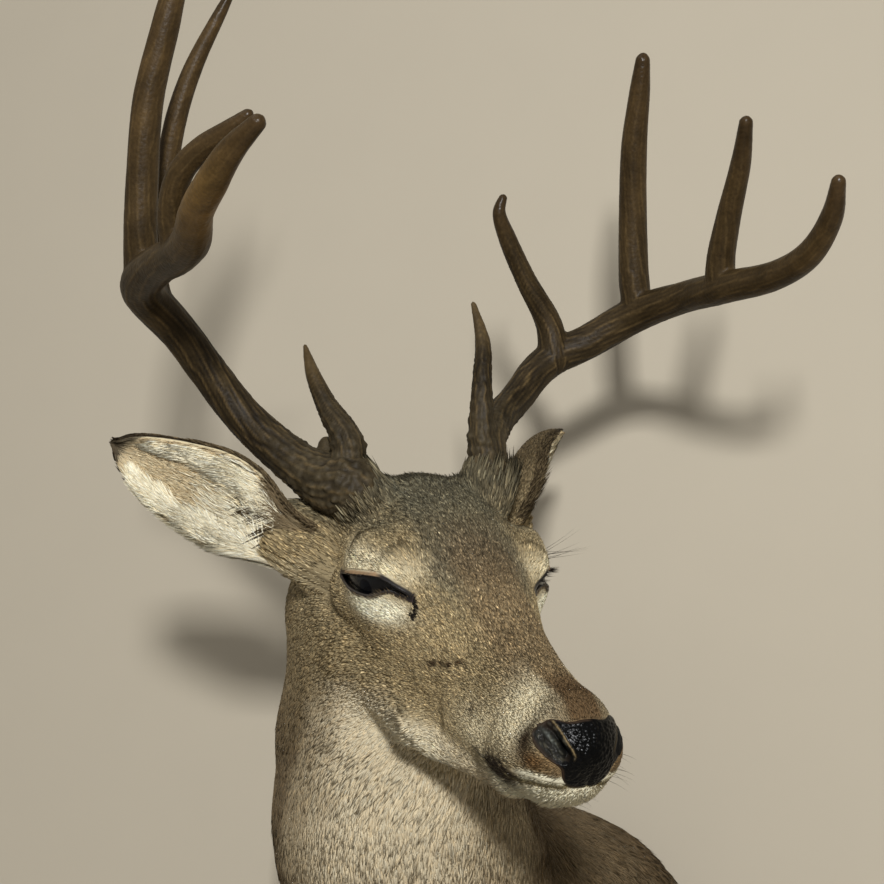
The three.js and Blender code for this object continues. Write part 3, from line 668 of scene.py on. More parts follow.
def markings(p, u, angle):
    """The coat's colour at places in the mount's frame: a ground colour, then soft patches laid
    over one another by place along and round the body, or by place on the head."""
    local = to_head(p)
    left, forward, up = np.abs(local[:, 0]), local[:, 1], local[:, 2]
    front = np.abs(np.angle(np.exp(1j * (angle - THROAT_MIDDLE))))
    blotch = wave_noise(p, 46, 3) * 0.5
    ground = Paint(GREY_BROWN, (len(p),))
    lay = ground.lay

    nape = smooth((u - 1.55) / 0.4)
    lay(NECK_BACK, nape)
    # the pale throat band and its brown edges; on the throat's left side that brown is partly
    # painted shade
    lay(NECK_SIDE, smooth((u - 1.38) / 0.3) * smooth((1.22 + blotch * 0.3 - front) / 0.5))
    pale = 0.7 + 0.3 * smooth((1.95 - u) / 0.2) + blotch * 0.25
    lay(THROAT, smooth((u - 1.4) / 0.3) * smooth((pale - front) / 0.45))
    lay(NECK_SIDE, 0.45 * smooth((u - 1.9) / 0.3) * smooth((0.75 - front) / 0.5))
    lay(SHOULDER, smooth((u - 2.45 + blotch * 0.1) / 0.3))

    on_top = smooth((up - 4 + 0.22 * forward) / 22) * smooth((40 - left) / 16) * (1 - nape)
    lay(FOREHEAD, 0.95 * on_top * smooth((100 - forward) / 60))
    lay(FACE_DARK, 1.3 * bell((forward - 44) / 32) * bell(left / 28) * smooth((up - 8) / 10))
    crown = smooth((up - 18) / 16) * smooth((16 - forward) / 30) * (1 - nape)
    lay(CROWN, 0.85 * crown * (0.85 + 0.3 * blotch))
    bridge = smooth((forward - 20) / 60) * smooth((up + 52 - 0.3 * (120 - forward)) / 16)
    lay(BRIDGE, 0.8 * bridge * smooth((26 - left) / 12))
    lay(NOSE_TOP, smooth((forward - 138) / 26) * smooth((12.5 - left) / 5) * smooth((up + 34) / 8))
    jaw = smooth((-up - 70) / 12) * smooth((forward + 80) / 60) * (1 - nape)
    lay(THROAT, 0.85 * jaw)
    lay(WHITE, 0.6 * bell((forward - 30) / 42) * bell((up + 94) / 17))
    pale_side = bell((forward - 154) / 20) * bell((up + 34) / 20) * smooth((left - 7) / 6)
    lay(CREAM, 1.2 * pale_side)
    rear_pale = bell((forward - 116) / 26) * bell((up + 58) / 15) * smooth((left - 12) / 8)
    lay(CREAM, 0.75 * rear_pale)

    on_lip = forward > 96
    gap = up - np.interp(forward, *MOUTH_LINE)
    lip = smooth((gap + 1) / 2) * smooth((7.5 - gap) / 3) * smooth((forward - 160) / 12)
    lay(ORANGE_BROWN, 0.9 * bell((forward - 179) / 10) * bell((up + 52) / 6) * (left > 12))
    lay(BLACK_BROWN, 1.0 * bell((forward - 170) / 8) * bell((up + 44) / 11) * (left > 12))
    lay(WHITE, lip * smooth((left - 7) / 4))
    lay(WHITE, smooth((-gap - 1.5) / 3) * smooth((forward - 118) / 25))
    lay(LIP_EDGE, 0.7 * bell((gap + 0.6) / 1.6) * smooth((forward - 150) / 8))
    lay(DARK, 0.8 * bell(gap / 1.1) * smooth((forward - 104) / 14) * smooth((152 - forward) / 10))
    corner = bell((forward - 147) / 15) * bell((gap - 1) / 7.5) * on_lip
    lay(LIP_CORNER, corner * (1.7 + 1.5 * wave_noise(local, 5, 12, 2)))
    right = local[:, 0] < 0
    marks = 0.9 + 0.5 * wave_noise(local, 6, 8, 2)
    scratch = distance_to_path(forward, up, SCRATCH)
    lay(SCRATCH_BROWN, 0.95 * bell(scratch / 1.9) * marks * right)
    spot = np.hypot(forward - 106, up + 48)
    lay(SCRATCH_BROWN, 0.95 * bell(spot / 3.2) * marks * right)

    for side in (1, -1):
        a, v, w = eye_chart(local, side).T
        facing = (local[:, 0] * side > 20) * smooth((w + 32) / 14)
        above = bell((a - 1 + 0.3 * v) / 25) * bell((v - 14) / 7.5)
        lay(CREAM, 2.1 * above * facing)
        lay(CREAM, 0.15 * bell((a - 26) / 9) * bell((v - 11) / 8) * facing)
        lay(WHITE, 1.7 * bell((a - 9) / 19) * bell((v + 11) / 7) * facing)
        gap = lid_gap(a, v)
        lay(BLACK_BROWN, 0.9 * smooth((3.6 - gap) / 2) * facing)
        slit = distance_to_path(a, v, DUCT_SLIT)
        lay(DARK, smooth((2.4 - slit) / 1.2) * facing)

    root = np.minimum(*(np.linalg.norm(local - ear[0], axis=1) for ear in EARS.values()))
    lay(CREAM, 0.5 * bell(root / 34) * smooth((-up + 8) / 16))
    return ground.tints


def speckle(colours, rng, strength):
    """Each lock a little lighter or darker, and warmer or greyer, than its place."""
    light = np.exp(rng.normal(0, strength, len(colours)))[:, None]
    warm = rng.normal(0, 0.022, len(colours))[:, None] * np.array([1.0, 0.0, -1.4])
    return np.clip(colours * light * (1 + warm), 0, 1)


# ======== meshes and materials ========
def placed(name, data):
    """A new object in the scene."""
    thing = bpy.data.objects.new(name, data)
    bpy.context.scene.collection.objects.link(thing)
    return thing


def read(rows, key, width=1, kind=np.float32):
    """One value, or a few, of every row of a mesh."""
    values = np.empty(len(rows) * width, kind)
    rows.foreach_get(key, values)
    return values.reshape(-1, width) if width > 1 else values


def add_piece(name, vertices, faces, material, node_names=(), colours=None,
              bake_uv=None, wet=None, flat=False):
    """A mesh piece from vertices in millimetres and arrays of faces of equal corner counts."""
    mesh = bpy.data.meshes.new(name)
    vertices = np.asarray(vertices, float).reshape(-1, 3)
    mesh.vertices.add(len(vertices))
    mesh.vertices.foreach_set("co", (vertices * MM).astype(np.float32).ravel())
    faces = [np.asarray(f) for f in faces if len(f)]
    loops = np.concatenate([f.ravel() for f in faces]).astype(np.int32)
    sizes = np.concatenate([np.full(len(f), f.shape[1]) for f in faces])
    starts = np.concatenate([[0], np.cumsum(sizes)[:-1]]).astype(np.int32)
    mesh.loops.add(len(loops))
    mesh.loops.foreach_set("vertex_index", loops)
    mesh.polygons.add(len(sizes))
    mesh.polygons.foreach_set("loop_start", starts)
    if not flat:
        mesh.polygons.foreach_set("use_smooth", np.ones(len(sizes), bool))
    if colours is not None:
        layer = mesh.attributes.new("Coat", "FLOAT_COLOR", "POINT")
        rgba = np.ones((len(vertices), 4), np.float32)
        rgba[:, :3] = colours.reshape(-1, 3)
        layer.data.foreach_set("color", rgba.ravel())
    if wet is not None:
        layer = mesh.attributes.new("Wet", "FLOAT", "POINT")
        layer.data.foreach_set("value", wet.astype(np.float32).ravel())
    if bake_uv is not None:
        layer = mesh.uv_layers.new(name="OFBake")
        uv = bake_uv if len(bake_uv) == len(loops) else bake_uv.reshape(-1, 2)[loops]
        layer.data.foreach_set("uv", uv.astype(np.float32).ravel())
    mesh.materials.append(material)
    mesh.update(calc_edges=True)
    mesh.validate()
    piece = placed(name, mesh)
    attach(piece, "root")
    if node_names:
        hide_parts(*node_names)
    return piece


def grid_faces(rows, columns, closed=True):
    """Four-cornered faces of a grid, wrapped round its columns where it is closed."""
    last = columns if closed else columns - 1
    r, c = np.meshgrid(np.arange(rows - 1), np.arange(last), indexing="ij")
    n = (c + 1) % columns
    corners = [r * columns + c, r * columns + n, (r + 1) * columns + n, (r + 1) * columns + c]
    return np.stack(corners, -1).reshape(-1, 4)


def fan_faces(ring, hub, inward):
    """Triangles from a closed ring of indices to one middle point."""
    following = np.roll(ring, -1)
    order = (following, ring) if inward else (ring, following)
    return np.stack([np.full(len(ring), hub), *order], 1)


def capped_faces(rows, columns):
    """A closed grid's faces, and a fan at each end to the two places that follow the grid's."""
    count = rows * columns
    ring = np.arange(columns)
    caps = [fan_faces(ring, count, True), fan_faces(count - columns + ring, count + 1, False)]
    return [grid_faces(rows, columns), *caps]


def grid_uv(rows, columns):
    """Corner places of a closed grid's faces on its own unwrap, kept off the edges."""
    r, c = np.meshgrid(np.arange(rows - 1), np.arange(columns), indexing="ij")
    around = np.stack([c, c + 1, c + 1, c], -1) / columns
    along = np.stack([r, r, r + 1, r + 1], -1) / (rows - 1)
    return np.stack([around, along], -1).reshape(-1, 2) * 0.96 + 0.02


class Nodes:
    """Places and joins the nodes of one material or group."""

    def __init__(self, tree):
        self.tree = tree

    def add(self, kind, inputs=None, **settings):
        """A node with its settings, and its inputs joined or set."""
        node = self.tree.nodes.new(kind)
        for key, value in settings.items():
            setattr(node, key, value)
        for key, value in (inputs or {}).items():
            if isinstance(value, bpy.types.NodeSocket):
                self.tree.links.new(value, node.inputs[key])
            else:
                node.inputs[key].default_value = value
        return node

    def math(self, operation, a, b=0.0):
        """The output of one sum on two values."""
        return self.add("ShaderNodeMath", {0: a, 1: b}, operation=operation).outputs[0]

    def blend(self, amount, a, b, mode="MIX"):
        """The output of a mix of two colours."""
        node = self.add("ShaderNodeMix", data_type="RGBA", blend_type=mode)
        for index, value in ((0, amount), (6, a), (7, b)):
            if isinstance(value, bpy.types.NodeSocket):
                self.tree.links.new(value, node.inputs[index])
            elif index == 0:
                node.inputs[index].default_value = value
            else:
                node.inputs[index].default_value = (*value, 1.0)
        return node.outputs[2]

    def spread(self, value, low, high, to_low=0.0, to_high=1.0):
        """A value moved from one range to another."""
        keys = {"Value": value, "From Min": low, "From Max": high,
                "To Min": to_low, "To Max": to_high}
        return self.add("ShaderNodeMapRange", keys).outputs[0]


def new_group(name, inputs, outputs):
    """A shader node group with named inputs and outputs."""
    tree = bpy.data.node_groups.new(name, "ShaderNodeTree")
    for socket, kind, default in inputs:
        made = tree.interface.new_socket(socket, in_out="INPUT", socket_type=kind)
        made.default_value = default
    for socket, kind in outputs:
        tree.interface.new_socket(socket, in_out="OUTPUT", socket_type=kind)
    nodes = Nodes(tree)
    return tree, nodes, nodes.add("NodeGroupInput"), nodes.add("NodeGroupOutput")


def fine_variation_group():
    """Lightens and darkens a colour by two sizes of noise, and gives a height for bump."""
    name = "Fine Variation"
    if name in bpy.data.node_groups:
        return bpy.data.node_groups[name]
    tree, nodes, given, out = new_group(
        name,
        [("Color", "NodeSocketColor", (0.5, 0.5, 0.5, 1)),
         ("Fine Scale", "NodeSocketFloat", 900.0),
         ("Broad Scale", "NodeSocketFloat", 60.0),
         ("Amount", "NodeSocketFloat", 0.2)],
        [("Color", "NodeSocketColor"), ("Height", "NodeSocketFloat")],
    )
    where = nodes.add("ShaderNodeTexCoord").outputs["Object"]
    fine = nodes.add("ShaderNodeTexNoise", {
        "Vector": where, "Scale": given.outputs["Fine Scale"], "Detail": 2.0}).outputs[0]
    broad = nodes.add("ShaderNodeTexNoise", {
        "Vector": where, "Scale": given.outputs["Broad Scale"], "Detail": 3.0}).outputs[0]
    fine_part = nodes.math("MULTIPLY", fine, 0.65)
    both = nodes.math("ADD", fine_part, nodes.math("MULTIPLY", broad, 0.35))
    swing = nodes.math("MULTIPLY", nodes.math("SUBTRACT", both, 0.5), 4.0)
    factor = nodes.math("ADD", nodes.math("MULTIPLY", swing, given.outputs["Amount"]), 1.0)
    grey = nodes.add("ShaderNodeCombineColor", {"Red": factor, "Green": factor, "Blue": factor})
    tinted = nodes.blend(1.0, given.outputs["Color"], grey.outputs[0], "MULTIPLY")
    tree.links.new(tinted, out.inputs["Color"])
    tree.links.new(fine, out.inputs["Height"])
    return tree


def new_material(name, settings):
    """A material with its principled shader, whose plain sockets are set directly."""
    material = bpy.data.materials.new(name)
    material.use_nodes = True
    nodes = Nodes(material.node_tree)
    shader = next(n for n in material.node_tree.nodes if n.type == "BSDF_PRINCIPLED")
    for key, value in settings.items():
        shader.inputs[key].default_value = value
    return material, nodes, shader


def vary(nodes, source, fine, broad, amount):
    """The fine variation group placed on a colour, with its own scales and amount."""
    group = nodes.add("ShaderNodeGroup", node_tree=fine_variation_group())
    if isinstance(source, bpy.types.NodeSocket):
        nodes.tree.links.new(source, group.inputs["Color"])
    else:
        group.inputs["Color"].default_value = (*source, 1.0)
    group.inputs["Fine Scale"].default_value = fine
    group.inputs["Broad Scale"].default_value = broad
    group.inputs["Amount"].default_value = amount
    return group


def finish_material(nodes, shader, base, height=None, strength=0.3, distance=0.0005):
    """Joins the colour and, where there is a height, a bump to the shader."""
    nodes.tree.links.new(base, shader.inputs["Base Color"])
    if height is not None:
        bump = nodes.add("ShaderNodeBump", {"Strength": strength, "Distance": distance,
                                            "Height": height})
        nodes.tree.links.new(bump.outputs[0], shader.inputs["Normal"])


def carried_material(name, grain, bump, settings, gloss=None):
    """A material in the colours that the mesh carries: grain gives the variation's fine and
    broad scales and its amount, bump its strength and distance, and gloss the roughness where
    the mesh's wetness is 0 and where it is 1."""
    if name in bpy.data.materials:
        return bpy.data.materials[name]
    material, nodes, shader = new_material(name, settings)
    carried = nodes.add("ShaderNodeAttribute", attribute_name="Coat").outputs["Color"]
    group = vary(nodes, carried, *grain)
    finish_material(nodes, shader, group.outputs["Color"], group.outputs["Height"], *bump)
    if gloss:
        wet = nodes.add("ShaderNodeAttribute", attribute_name="Wet").outputs["Fac"]
        nodes.tree.links.new(nodes.spread(wet, 0, 1, *gloss), shader.inputs["Roughness"])
    return material


def hair_material():
    """Matt hair, a little uneven."""
    return carried_material("coat_hair", (1400.0, 45.0, 0.06), (0.35, 0.0006), {
        "Roughness": 0.6, "Specular IOR Level": 0.1})


def skin_material():
    """The furred skin that shows between the locks."""
    return carried_material("hide_skin", (700.0, 45.0, 0.22), (0.35, 0.0006), {
        "Roughness": 0.85, "Specular IOR Level": 0.15})


def bare_skin_material(name, settings):
    """Bare skin, as glossy as the mesh's wetness says."""
    return carried_material(name, (1100.0, 90.0, 0.12), (0.35, 0.0004), settings, (0.8, 0.14))


# ======== the coat's locks ========
LANCET_FACES = np.array([[0, 2, 1], [1, 2, 3], [0, 1, 3], [0, 3, 2]])


def lancets(root, lie, out, length, width, lift, droop):
    """Closed four-cornered locks: a root, two sides part way along, and a tip. The first
    stretch rises from the lie by one angle and the rest falls from it by another."""
    across = unit(np.cross(out, lie))
    length, width = length[:, None], width[:, None]
    lift, droop = lift[:, None], droop[:, None]
    middle = root + (lie * np.cos(lift) + out * np.sin(lift)) * length * 0.45
    tip = middle + (lie * np.cos(droop) + out * np.sin(droop)) * length * 0.55
    return np.stack([root, middle + across * width / 2, middle - across * width / 2, tip], 1)


def lock_faces(count):
    """The four triangles of each lock."""
    return (LANCET_FACES[None] + 4 * np.arange(count)[:, None, None]).reshape(-1, 3)


PATCH = np.array([[0, 0], [-0.4, 0.45], [0.4, 0.45], [0, 1]]) * BAKE_PATCH


def lock_uv(root_uv):
    """A small patch for each lock at its root's place on the unwrap."""
    return (root_uv[:, None] + PATCH[None]).reshape(-1, 2)


def lock_colours(base, root_share, tip_share):
    """Darker at the root and paler at the tip than the lock's own colour."""
    shares = np.ones((len(base), 4))
    shares[:, 0], shares[:, 3] = root_share, tip_share
    return np.clip(base[:, None] * shares[..., None], 0, 1)


def scattered(lie, out, rng, spread):
    """The lie turned about the outward way by a random angle."""
    across = np.cross(out, lie)
    angle = rng.normal(0, spread, len(lie))[:, None]
    return unit(lie * np.cos(angle) + across * np.sin(angle))


def sample_grid(grid, low, high, side, count, rng):
    """Random places on the skin between two rings, more where the locks are smaller."""
    u, angle = grid["u"], grid["angle"]
    points = grid["smooth_points"]
    after = np.roll(points, -1, axis=1)
    area = np.linalg.norm(np.cross(after[:-1] - points[:-1], points[1:] - points[:-1]), axis=-1)
    middle = (u[:-1] + u[1:]) / 2
    size = np.interp(middle, PLACES, LOCK_LENGTH) * np.interp(middle, PLACES, LOCK_WIDTH)
    weight = area / size[:, None] ** 0.9
    weight[(middle < low) | (middle > high)] = 0
    if side:
        weight[:, np.sin(angle + angle[1] / 2) * side < 0] = 0
    total = np.cumsum(weight.ravel())
    cell = np.searchsorted(total, rng.uniform(0, total[-1], count))
    row, column = np.divmod(cell, len(angle))
    fr, fc = rng.uniform(size=(2, count))
    following = (column + 1) % len(angle)

    def between(values):
        near = mix(values[row, column], values[row, following], fc[:, None])
        far = mix(values[row + 1, column], values[row + 1, following], fc[:, None])
        return mix(near, far, fr[:, None])

    place = mix(u[row], u[row + 1], fr)
    turn = angle[column] + angle[1] * fc
    uv = np.stack([turn / (2 * np.pi), (row + fr) / len(u)], 1) * 0.95 + 0.02
    return {
        "root": between(points),
        "out": unit(between(grid["normals"])),
        "lie": unit(between(grid["lie"])),
        "u": place,
        "angle": turn,
        "uv": uv,
    }


def bare_places(p):
    """True where no coat grows: the nose, the lids' rims, the duct and the antlers' roots."""
    local = to_head(p)
    _, round_top = nose_chart(local)
    fringe = 1.5 - 6 * bell((round_top - 74) / 16)
    bare = (nose_margin(local) < fringe) & (local[:, 1] > 150)
    for runs in ANTLERS.values():
        beam = np.array(runs["beam"][:4], float)
        for here, after in zip(beam[:-1], beam[1:]):
            bare |= round_cone(local, here[:3], after[:3], here[3], after[3]) < 0.5
    for side in (1, -1):
        a, v, w = eye_chart(local, side).T
        facing = (local[:, 0] * side > 20) & (w > -14)
        gap = lid_gap(a, v)
        rim = np.where(v > 3, mix(3.3, 1.8, smooth((-a - 14) / 8)), 2.1)
        bare |= facing & (gap < rim)
        bare |= facing & (distance_to_path(a, v, DUCT_SLIT) < 1.2)
    return bare


def near_roots(local, lines, reach, fade, behind, lead):
    """How near each place is to the root of one of some lines, from 0 to 1, and the way that
    line runs: full within reach of it, and from behind its start."""
    weight, axis = np.zeros(len(local)), np.tile(UP, (len(local), 1))
    for first, second in lines:
        way = unit(np.array(second, float) - first)
        d = local - first
        away = np.linalg.norm(d - (d @ way)[:, None] * way, axis=1)
        near = smooth((reach - away) / fade) * smooth((d @ way + behind) / lead)
        axis = np.where((near > weight)[:, None], way @ HEAD_AXES, axis)
        weight = np.maximum(weight, near)
    return weight, axis


def turned_along(lie, out, axis, amount):
    """The lie swung toward an axis, kept flat on the skin."""
    flat_axis = axis - out * (axis * out).sum(1, keepdims=True)
    return unit(lie * (1 - amount)[:, None] + unit(flat_axis + 0.001 * lie) * amount[:, None])


def build_coat(name, low, high, side, count, seed):
    """One stretch of coat: locks rooted on the skin and combed the way the rings run."""
    rng = np.random.default_rng(seed)
    made = sample_grid(skin_grid(), low, high, side, int(count * 1.08), rng)
    keep = np.flatnonzero(~bare_places(made["root"]))[:count]
    made = {key: value[keep] for key, value in made.items()}
    root, out, u = made["root"], made["out"], made["u"]
    local = to_head(root)
    length = np.interp(u, PLACES, LOCK_LENGTH) * rng.uniform(0.75, 1.2, len(u))
    width = np.interp(u, PLACES, LOCK_WIDTH) * rng.uniform(0.7, 1.2, len(u))
    depth = np.interp(u, PLACES, COAT_DEPTH)
    shallow = shallow_coat(root)
    length, width = length * (1 - 0.35 * shallow), width * (1 - 0.3 * shallow)
    depth = mix(depth, LID_DEPTH, shallow)
    crown = smooth((local[:, 2] - 30) / 12) * smooth((-18 - local[:, 1]) / 20) * (u < 1.7)
    chin = smooth((-local[:, 2] - 64) / 6) * smooth((local[:, 1] - 112) / 14) * (u < 1)
    jaw = smooth((-local[:, 2] - 66) / 10) * smooth((local[:, 1] + 10) / 40) * (u < 1.6)
    top = smooth((local[:, 2] - 4) / 20) * smooth((u - 0.8) / 0.4) * (u < 1.7)
    length = length * (1 + 0.6 * crown + 0.6 * chin + 0.4 * jaw * (1 - chin) + 0.25 * top)
    clump = wave_noise(root, 30, 7, 3)
    lie = scattered(made["lie"], out, rng, 0.15)
    lie = unit(lie + np.cross(out, lie) * (0.14 * clump)[:, None])
    burrs = [(runs["beam"][0][:3], runs["beam"][1][:3]) for runs in ANTLERS.values()]
    near, axis = near_roots(local, burrs, 31, 16, 4, 8)
    near = near * rng.uniform(0.6, 1, len(u))
    near_ear, ear_axis = near_roots(local, [ear[:2] for ear in EARS.values()], 44, 24, 14, 18)
    lie = turned_along(lie, out, ear_axis, near_ear)
    lie = turned_along(lie, out, axis, near)
    length = length * (1 + 0.6 * near) * (1 - 0.2 * near_ear)
    rise = np.clip(depth * mix(1.15, 0.78, smooth((u - 1.4) / 0.3)) / length, 0.05, 0.5)
    lift = np.arcsin(rise) * rng.uniform(0.7, 1.25, len(u))
    loose = np.maximum(crown * 0.5, near) + 0.5 * chin
    lift = lift + 0.4 * loose * rng.uniform(0, 1, len(u))
    droop = rng.normal(-0.12, 0.06, len(u)) + 0.1 * smooth((1.2 - u) / 0.5) + 0.25 * loose
    locks = lancets(root, lie, out, length, width, lift, droop)
    seen = root + lie * (length * 0.5)[:, None]
    base = markings(seen, u, made["angle"])
    bright = smooth((base.sum(1) / 3 - 0.12) / 0.32)
    grizzled = mix(0.28, 1, smooth((1.75 - u) / 0.3)) * smooth((u - 0.1) / 0.5)
    base = speckle(base, rng, mix(0.08 + 0.36 * grizzled, 0.05 + 0.11 * grizzled, bright))
    base = base * np.exp(0.13 * grizzled * wave_noise(root, 8, 31, 3))[:, None]
    base = base * (1 - 0.4 * near)[:, None]
    dark_root = mix(0.78 - 0.24 * grizzled, 0.94 - 0.04 * grizzled, bright)
    pale_tip = mix(1.06 + 0.44 * grizzled, 1.05, bright) * rng.uniform(0.88, 1.12, len(u))
    tints = lock_colours(base, dark_root, pale_tip)
    return add_piece(name, locks, [lock_faces(len(u))], hair_material(),
                     colours=tints, bake_uv=lock_uv(made["uv"]), flat=True)


# ======== skin, lids and eyes ========
def build_skin():
    """The closed skin: the grid of rings with a middle point at the nose and at the board."""
    grid = skin_grid()
    points = grid["points"]
    rows, columns = points.shape[:2]
    flat = points.reshape(-1, 3)
    hubs = np.stack([points[0].mean(0), points[-1].mean(0)])
    vertices = np.vstack([flat, hubs])
    u = np.repeat(grid["u"], columns)
    angle = np.tile(grid["angle"], rows)
    # painted shade: the skin between the locks is darker under the face's coat; under the neck's
    # deeper coat it is kept full bright to offset the shade in the gaps, which is painted light
    painted_gap_shade = mix(0.82, 1.0, smooth((u - 1.4) / 0.4))[:, None]
    tints = np.vstack([markings(flat, u, angle) * painted_gap_shade, np.tile(SHOULDER, (2, 1))])
    cap_uv = np.full((2 * columns * 3, 2), 0.01)
    uv = np.vstack([grid_uv(rows, columns), cap_uv])
    return add_piece("skin", vertices, capped_faces(rows, columns), skin_material(),
                     ("shoulders", "neck", "head", "lower_jaw"), tints, uv)


def oriented(vertices, faces, inside):
    """Turns the faces over if they look toward the inside point."""
    corner = vertices[faces[:, 0]]
    normal = np.cross(vertices[faces[:, 1]] - corner, vertices[faces[:, 2]] - corner)
    return faces if (normal * (corner - inside)).sum() > 0 else faces[:, ::-1]


def lid_outline():
    """The opening's edge as a closed run of along and up, softened along its length."""
    theta = 2 * np.pi * np.arange(LID_COLUMNS) / LID_COLUMNS
    low, high = LID_SPAN
    a = mix(low, high, (1 - np.cos(theta)) / 2)
    v = np.where(np.sin(theta) > 0, np.interp(a, *UPPER_LID), np.interp(a, *LOWER_LID))
    return theta, a, softened_loop(v, 4)


def lid_surface(a, v, side):
    """How far out the lids lie at each along and up, cast along the eye's outward way."""
    chart = np.stack([a.ravel(), v.ravel(), np.full(a.size, -9.0)], 1)
    start = from_eye_chart(chart, side)
    ahead = from_eye_chart(chart + [0, 0, 1.0], side) - start
    return cast(lambda p: hide_field(p) + LID_DEPTH, start, ahead, 0, 45).reshape(a.shape) - 9


def build_lids(name, side):
    """Rows run from the opening's middle line along its wet floor, up the wall, over the rim
    and out over the lid to an oval edge that is tucked under the skin."""
    theta, a, v = lid_outline()
    middle = (np.interp(a, *UPPER_LID) + np.interp(a, *LOWER_LID)) / 2
    centre_a, centre_v, half_a, half_v = LID_OVAL
    reach_a = centre_a - half_a * np.cos(theta) - a
    reach_v = centre_v + half_v * np.sin(theta) - v
    floor_t = np.linspace(0, 1, LID_FLOOR_ROWS)[:, None]
    outer_q = np.linspace(0, 1, LID_OUTER_ROWS)[:, None] ** 1.15
    rows_a = np.vstack([a + 0 * floor_t, a[None], a[None], a + reach_a * outer_q])
    rows_v = np.vstack([mix(middle, v, floor_t), v[None], v[None], v + reach_v * outer_q])
    surface = lid_surface(rows_a, rows_v, side)
    gap = np.maximum(lid_gap(rows_a, rows_v), 0)
    upper = rows_v > np.interp(rows_a, LID_SPAN, [0, 1.5])
    inner_rows = LID_FLOOR_ROWS + 2
    level = np.zeros((inner_rows, 1))
    rise = np.vstack([0 * floor_t - 3.2, [[-2.0]], [[-0.7]], 0.28 + 0 * outer_q])
    rim = np.vstack([level, bell((outer_q * 11 - 0.5) / 0.7) * 0.25])
    tuck = np.vstack([level, -2.2 * smooth((outer_q - 0.8) / 0.2)])
    long_way = smooth((rows_a + 24) / 8) * smooth((19 - rows_a) / 8) * upper
    crease = 0.9 * bell((gap - 3.7) / 0.5) + 0.5 * bell((gap - 7.8) / 0.5)
    puff = 0.6 * bell((gap - 2.2) / 1.5)
    fold = 0.5 * bell((gap - 3.2) / 0.6) * ~upper
    under_coat = 0.9 * smooth((gap - 4.4) / 2.4)
    w = surface + rise + rim + tuck - under_coat + (puff - crease) * long_way - fold
    chart = np.stack([rows_a, rows_v, w], -1).reshape(-1, 3)
    points = from_eye_chart(chart, side)
    rows = len(rows_a)

    tints = markings(points, np.full(len(points), 0.9), np.zeros(len(points))) * 0.85
    paint = Paint(tints.reshape(rows, LID_COLUMNS, 3), (rows, LID_COLUMNS))
    lay = paint.lay
    fray = wave_noise(points, 3.0, 5, 3).reshape(rows, LID_COLUMNS)
    salmon = smooth((rows_a + 26) / 7) * smooth((15 - rows_a) / 7) * (0.75 + 0.4 * fray)
    lay(colour(156, 127, 94), smooth((3.4 + 0.8 * fray - gap) / 1.0) * upper * salmon)
    # painted shade: darker lines along the two creases over the upper lid
    lay(colour(84, 68, 48), 0.7 * bell((gap - 3.7) / 0.6) * long_way)
    lay(colour(112, 95, 70), 0.7 * bell((gap - 7.8) / 0.5) * long_way)
    lay(BLACK_BROWN, smooth((-rows_a - 24) / 4) * smooth((3.4 - gap) / 1.5) * upper)
    lay(DARK, smooth((rows_a - 11) / 4) * smooth((3.8 - gap) / 1.5) * upper, 0.25)
    lay(DARK, smooth((0.9 - gap) / 0.5) * upper, 0.5)
    lay(colour(34, 22, 19), smooth((3.6 - gap) / 1.0) * ~upper, 0.35)
    # painted highlight: a grey line along the lower lid's wet rim, which is also made glossy
    wet_rim_highlight = bell((gap - 0.4) / 0.4) * ~upper * smooth((16 - rows_a) / 6)
    lay(colour(74, 70, 65), 0.8 * wet_rim_highlight * smooth((rows_a + 26) / 8), 0.85)
    inner = np.arange(rows)[:, None] < inner_rows
    lay(colour(9, 8, 8), 1.0 * (inner & (gap >= 0)), 0.9)
    lay(DARK, smooth((rows_a - 19) / 4) * smooth((2.0 - gap) / 1), 0.9)
    faces = grid_faces(rows, LID_COLUMNS)
    faces = oriented(points, faces, from_head((EYE_CENTRE - [24, 0, 0]) * [side, 1, 1]))
    material = bare_skin_material("lid_skin", {"Specular IOR Level": 0.5})
    return add_piece(name, points, [faces], material, (), paint.tints, None, paint.wet)


def build_eye(name, side, node):
    """A ball whose front swells as a cornea, in rings about its outward way."""
    rows, columns = EYE_ROWS, EYE_COLUMNS
    polar = np.linspace(0, np.pi, rows)[1:-1, None]
    around = 2 * np.pi * np.arange(columns) / columns
    r = EYE_RADIUS + CORNEA_RISE * bell(polar / 0.75)
    chart = np.stack([
        r * np.sin(polar) * np.cos(around),
        r * np.sin(polar) * np.sin(around),
        r * np.cos(polar) + 0 * around,
    ], -1).reshape(-1, 3)
    chart = np.vstack([chart, [[0, 0, EYE_RADIUS + CORNEA_RISE]], [[0, 0, -EYE_RADIUS]]])
    points = from_eye_chart(chart, side)
    faces = capped_faces(rows - 2, columns)
    centre = from_head(EYE_CENTRE * [side, 1, 1])
    spread = np.hypot(chart[:, 0] / 7.6, chart[:, 1] / 4.2)
    iris = colour(19, 12, 8) * (1 + 0.3 * np.sin(9 * np.arctan2(chart[:, 1], chart[:, 0])))[:, None]
    tints = mix(colour(4, 4, 6), iris, smooth((spread - 0.9) / 0.3)[:, None])
    ring = smooth((np.hypot(chart[:, 0], chart[:, 1]) - 12.0) / 1.5)[:, None]
    tints = mix(tints, colour(14, 12, 12), ring)
    material = bare_skin_material("eye_glass", {
        "Specular IOR Level": 0.1, "Coat Weight": 0.22, "Coat Roughness": 0.04})
    return add_piece(name, points, [oriented(points, f, centre) for f in faces],
                     material, (node,), tints, None, np.ones(len(points)))


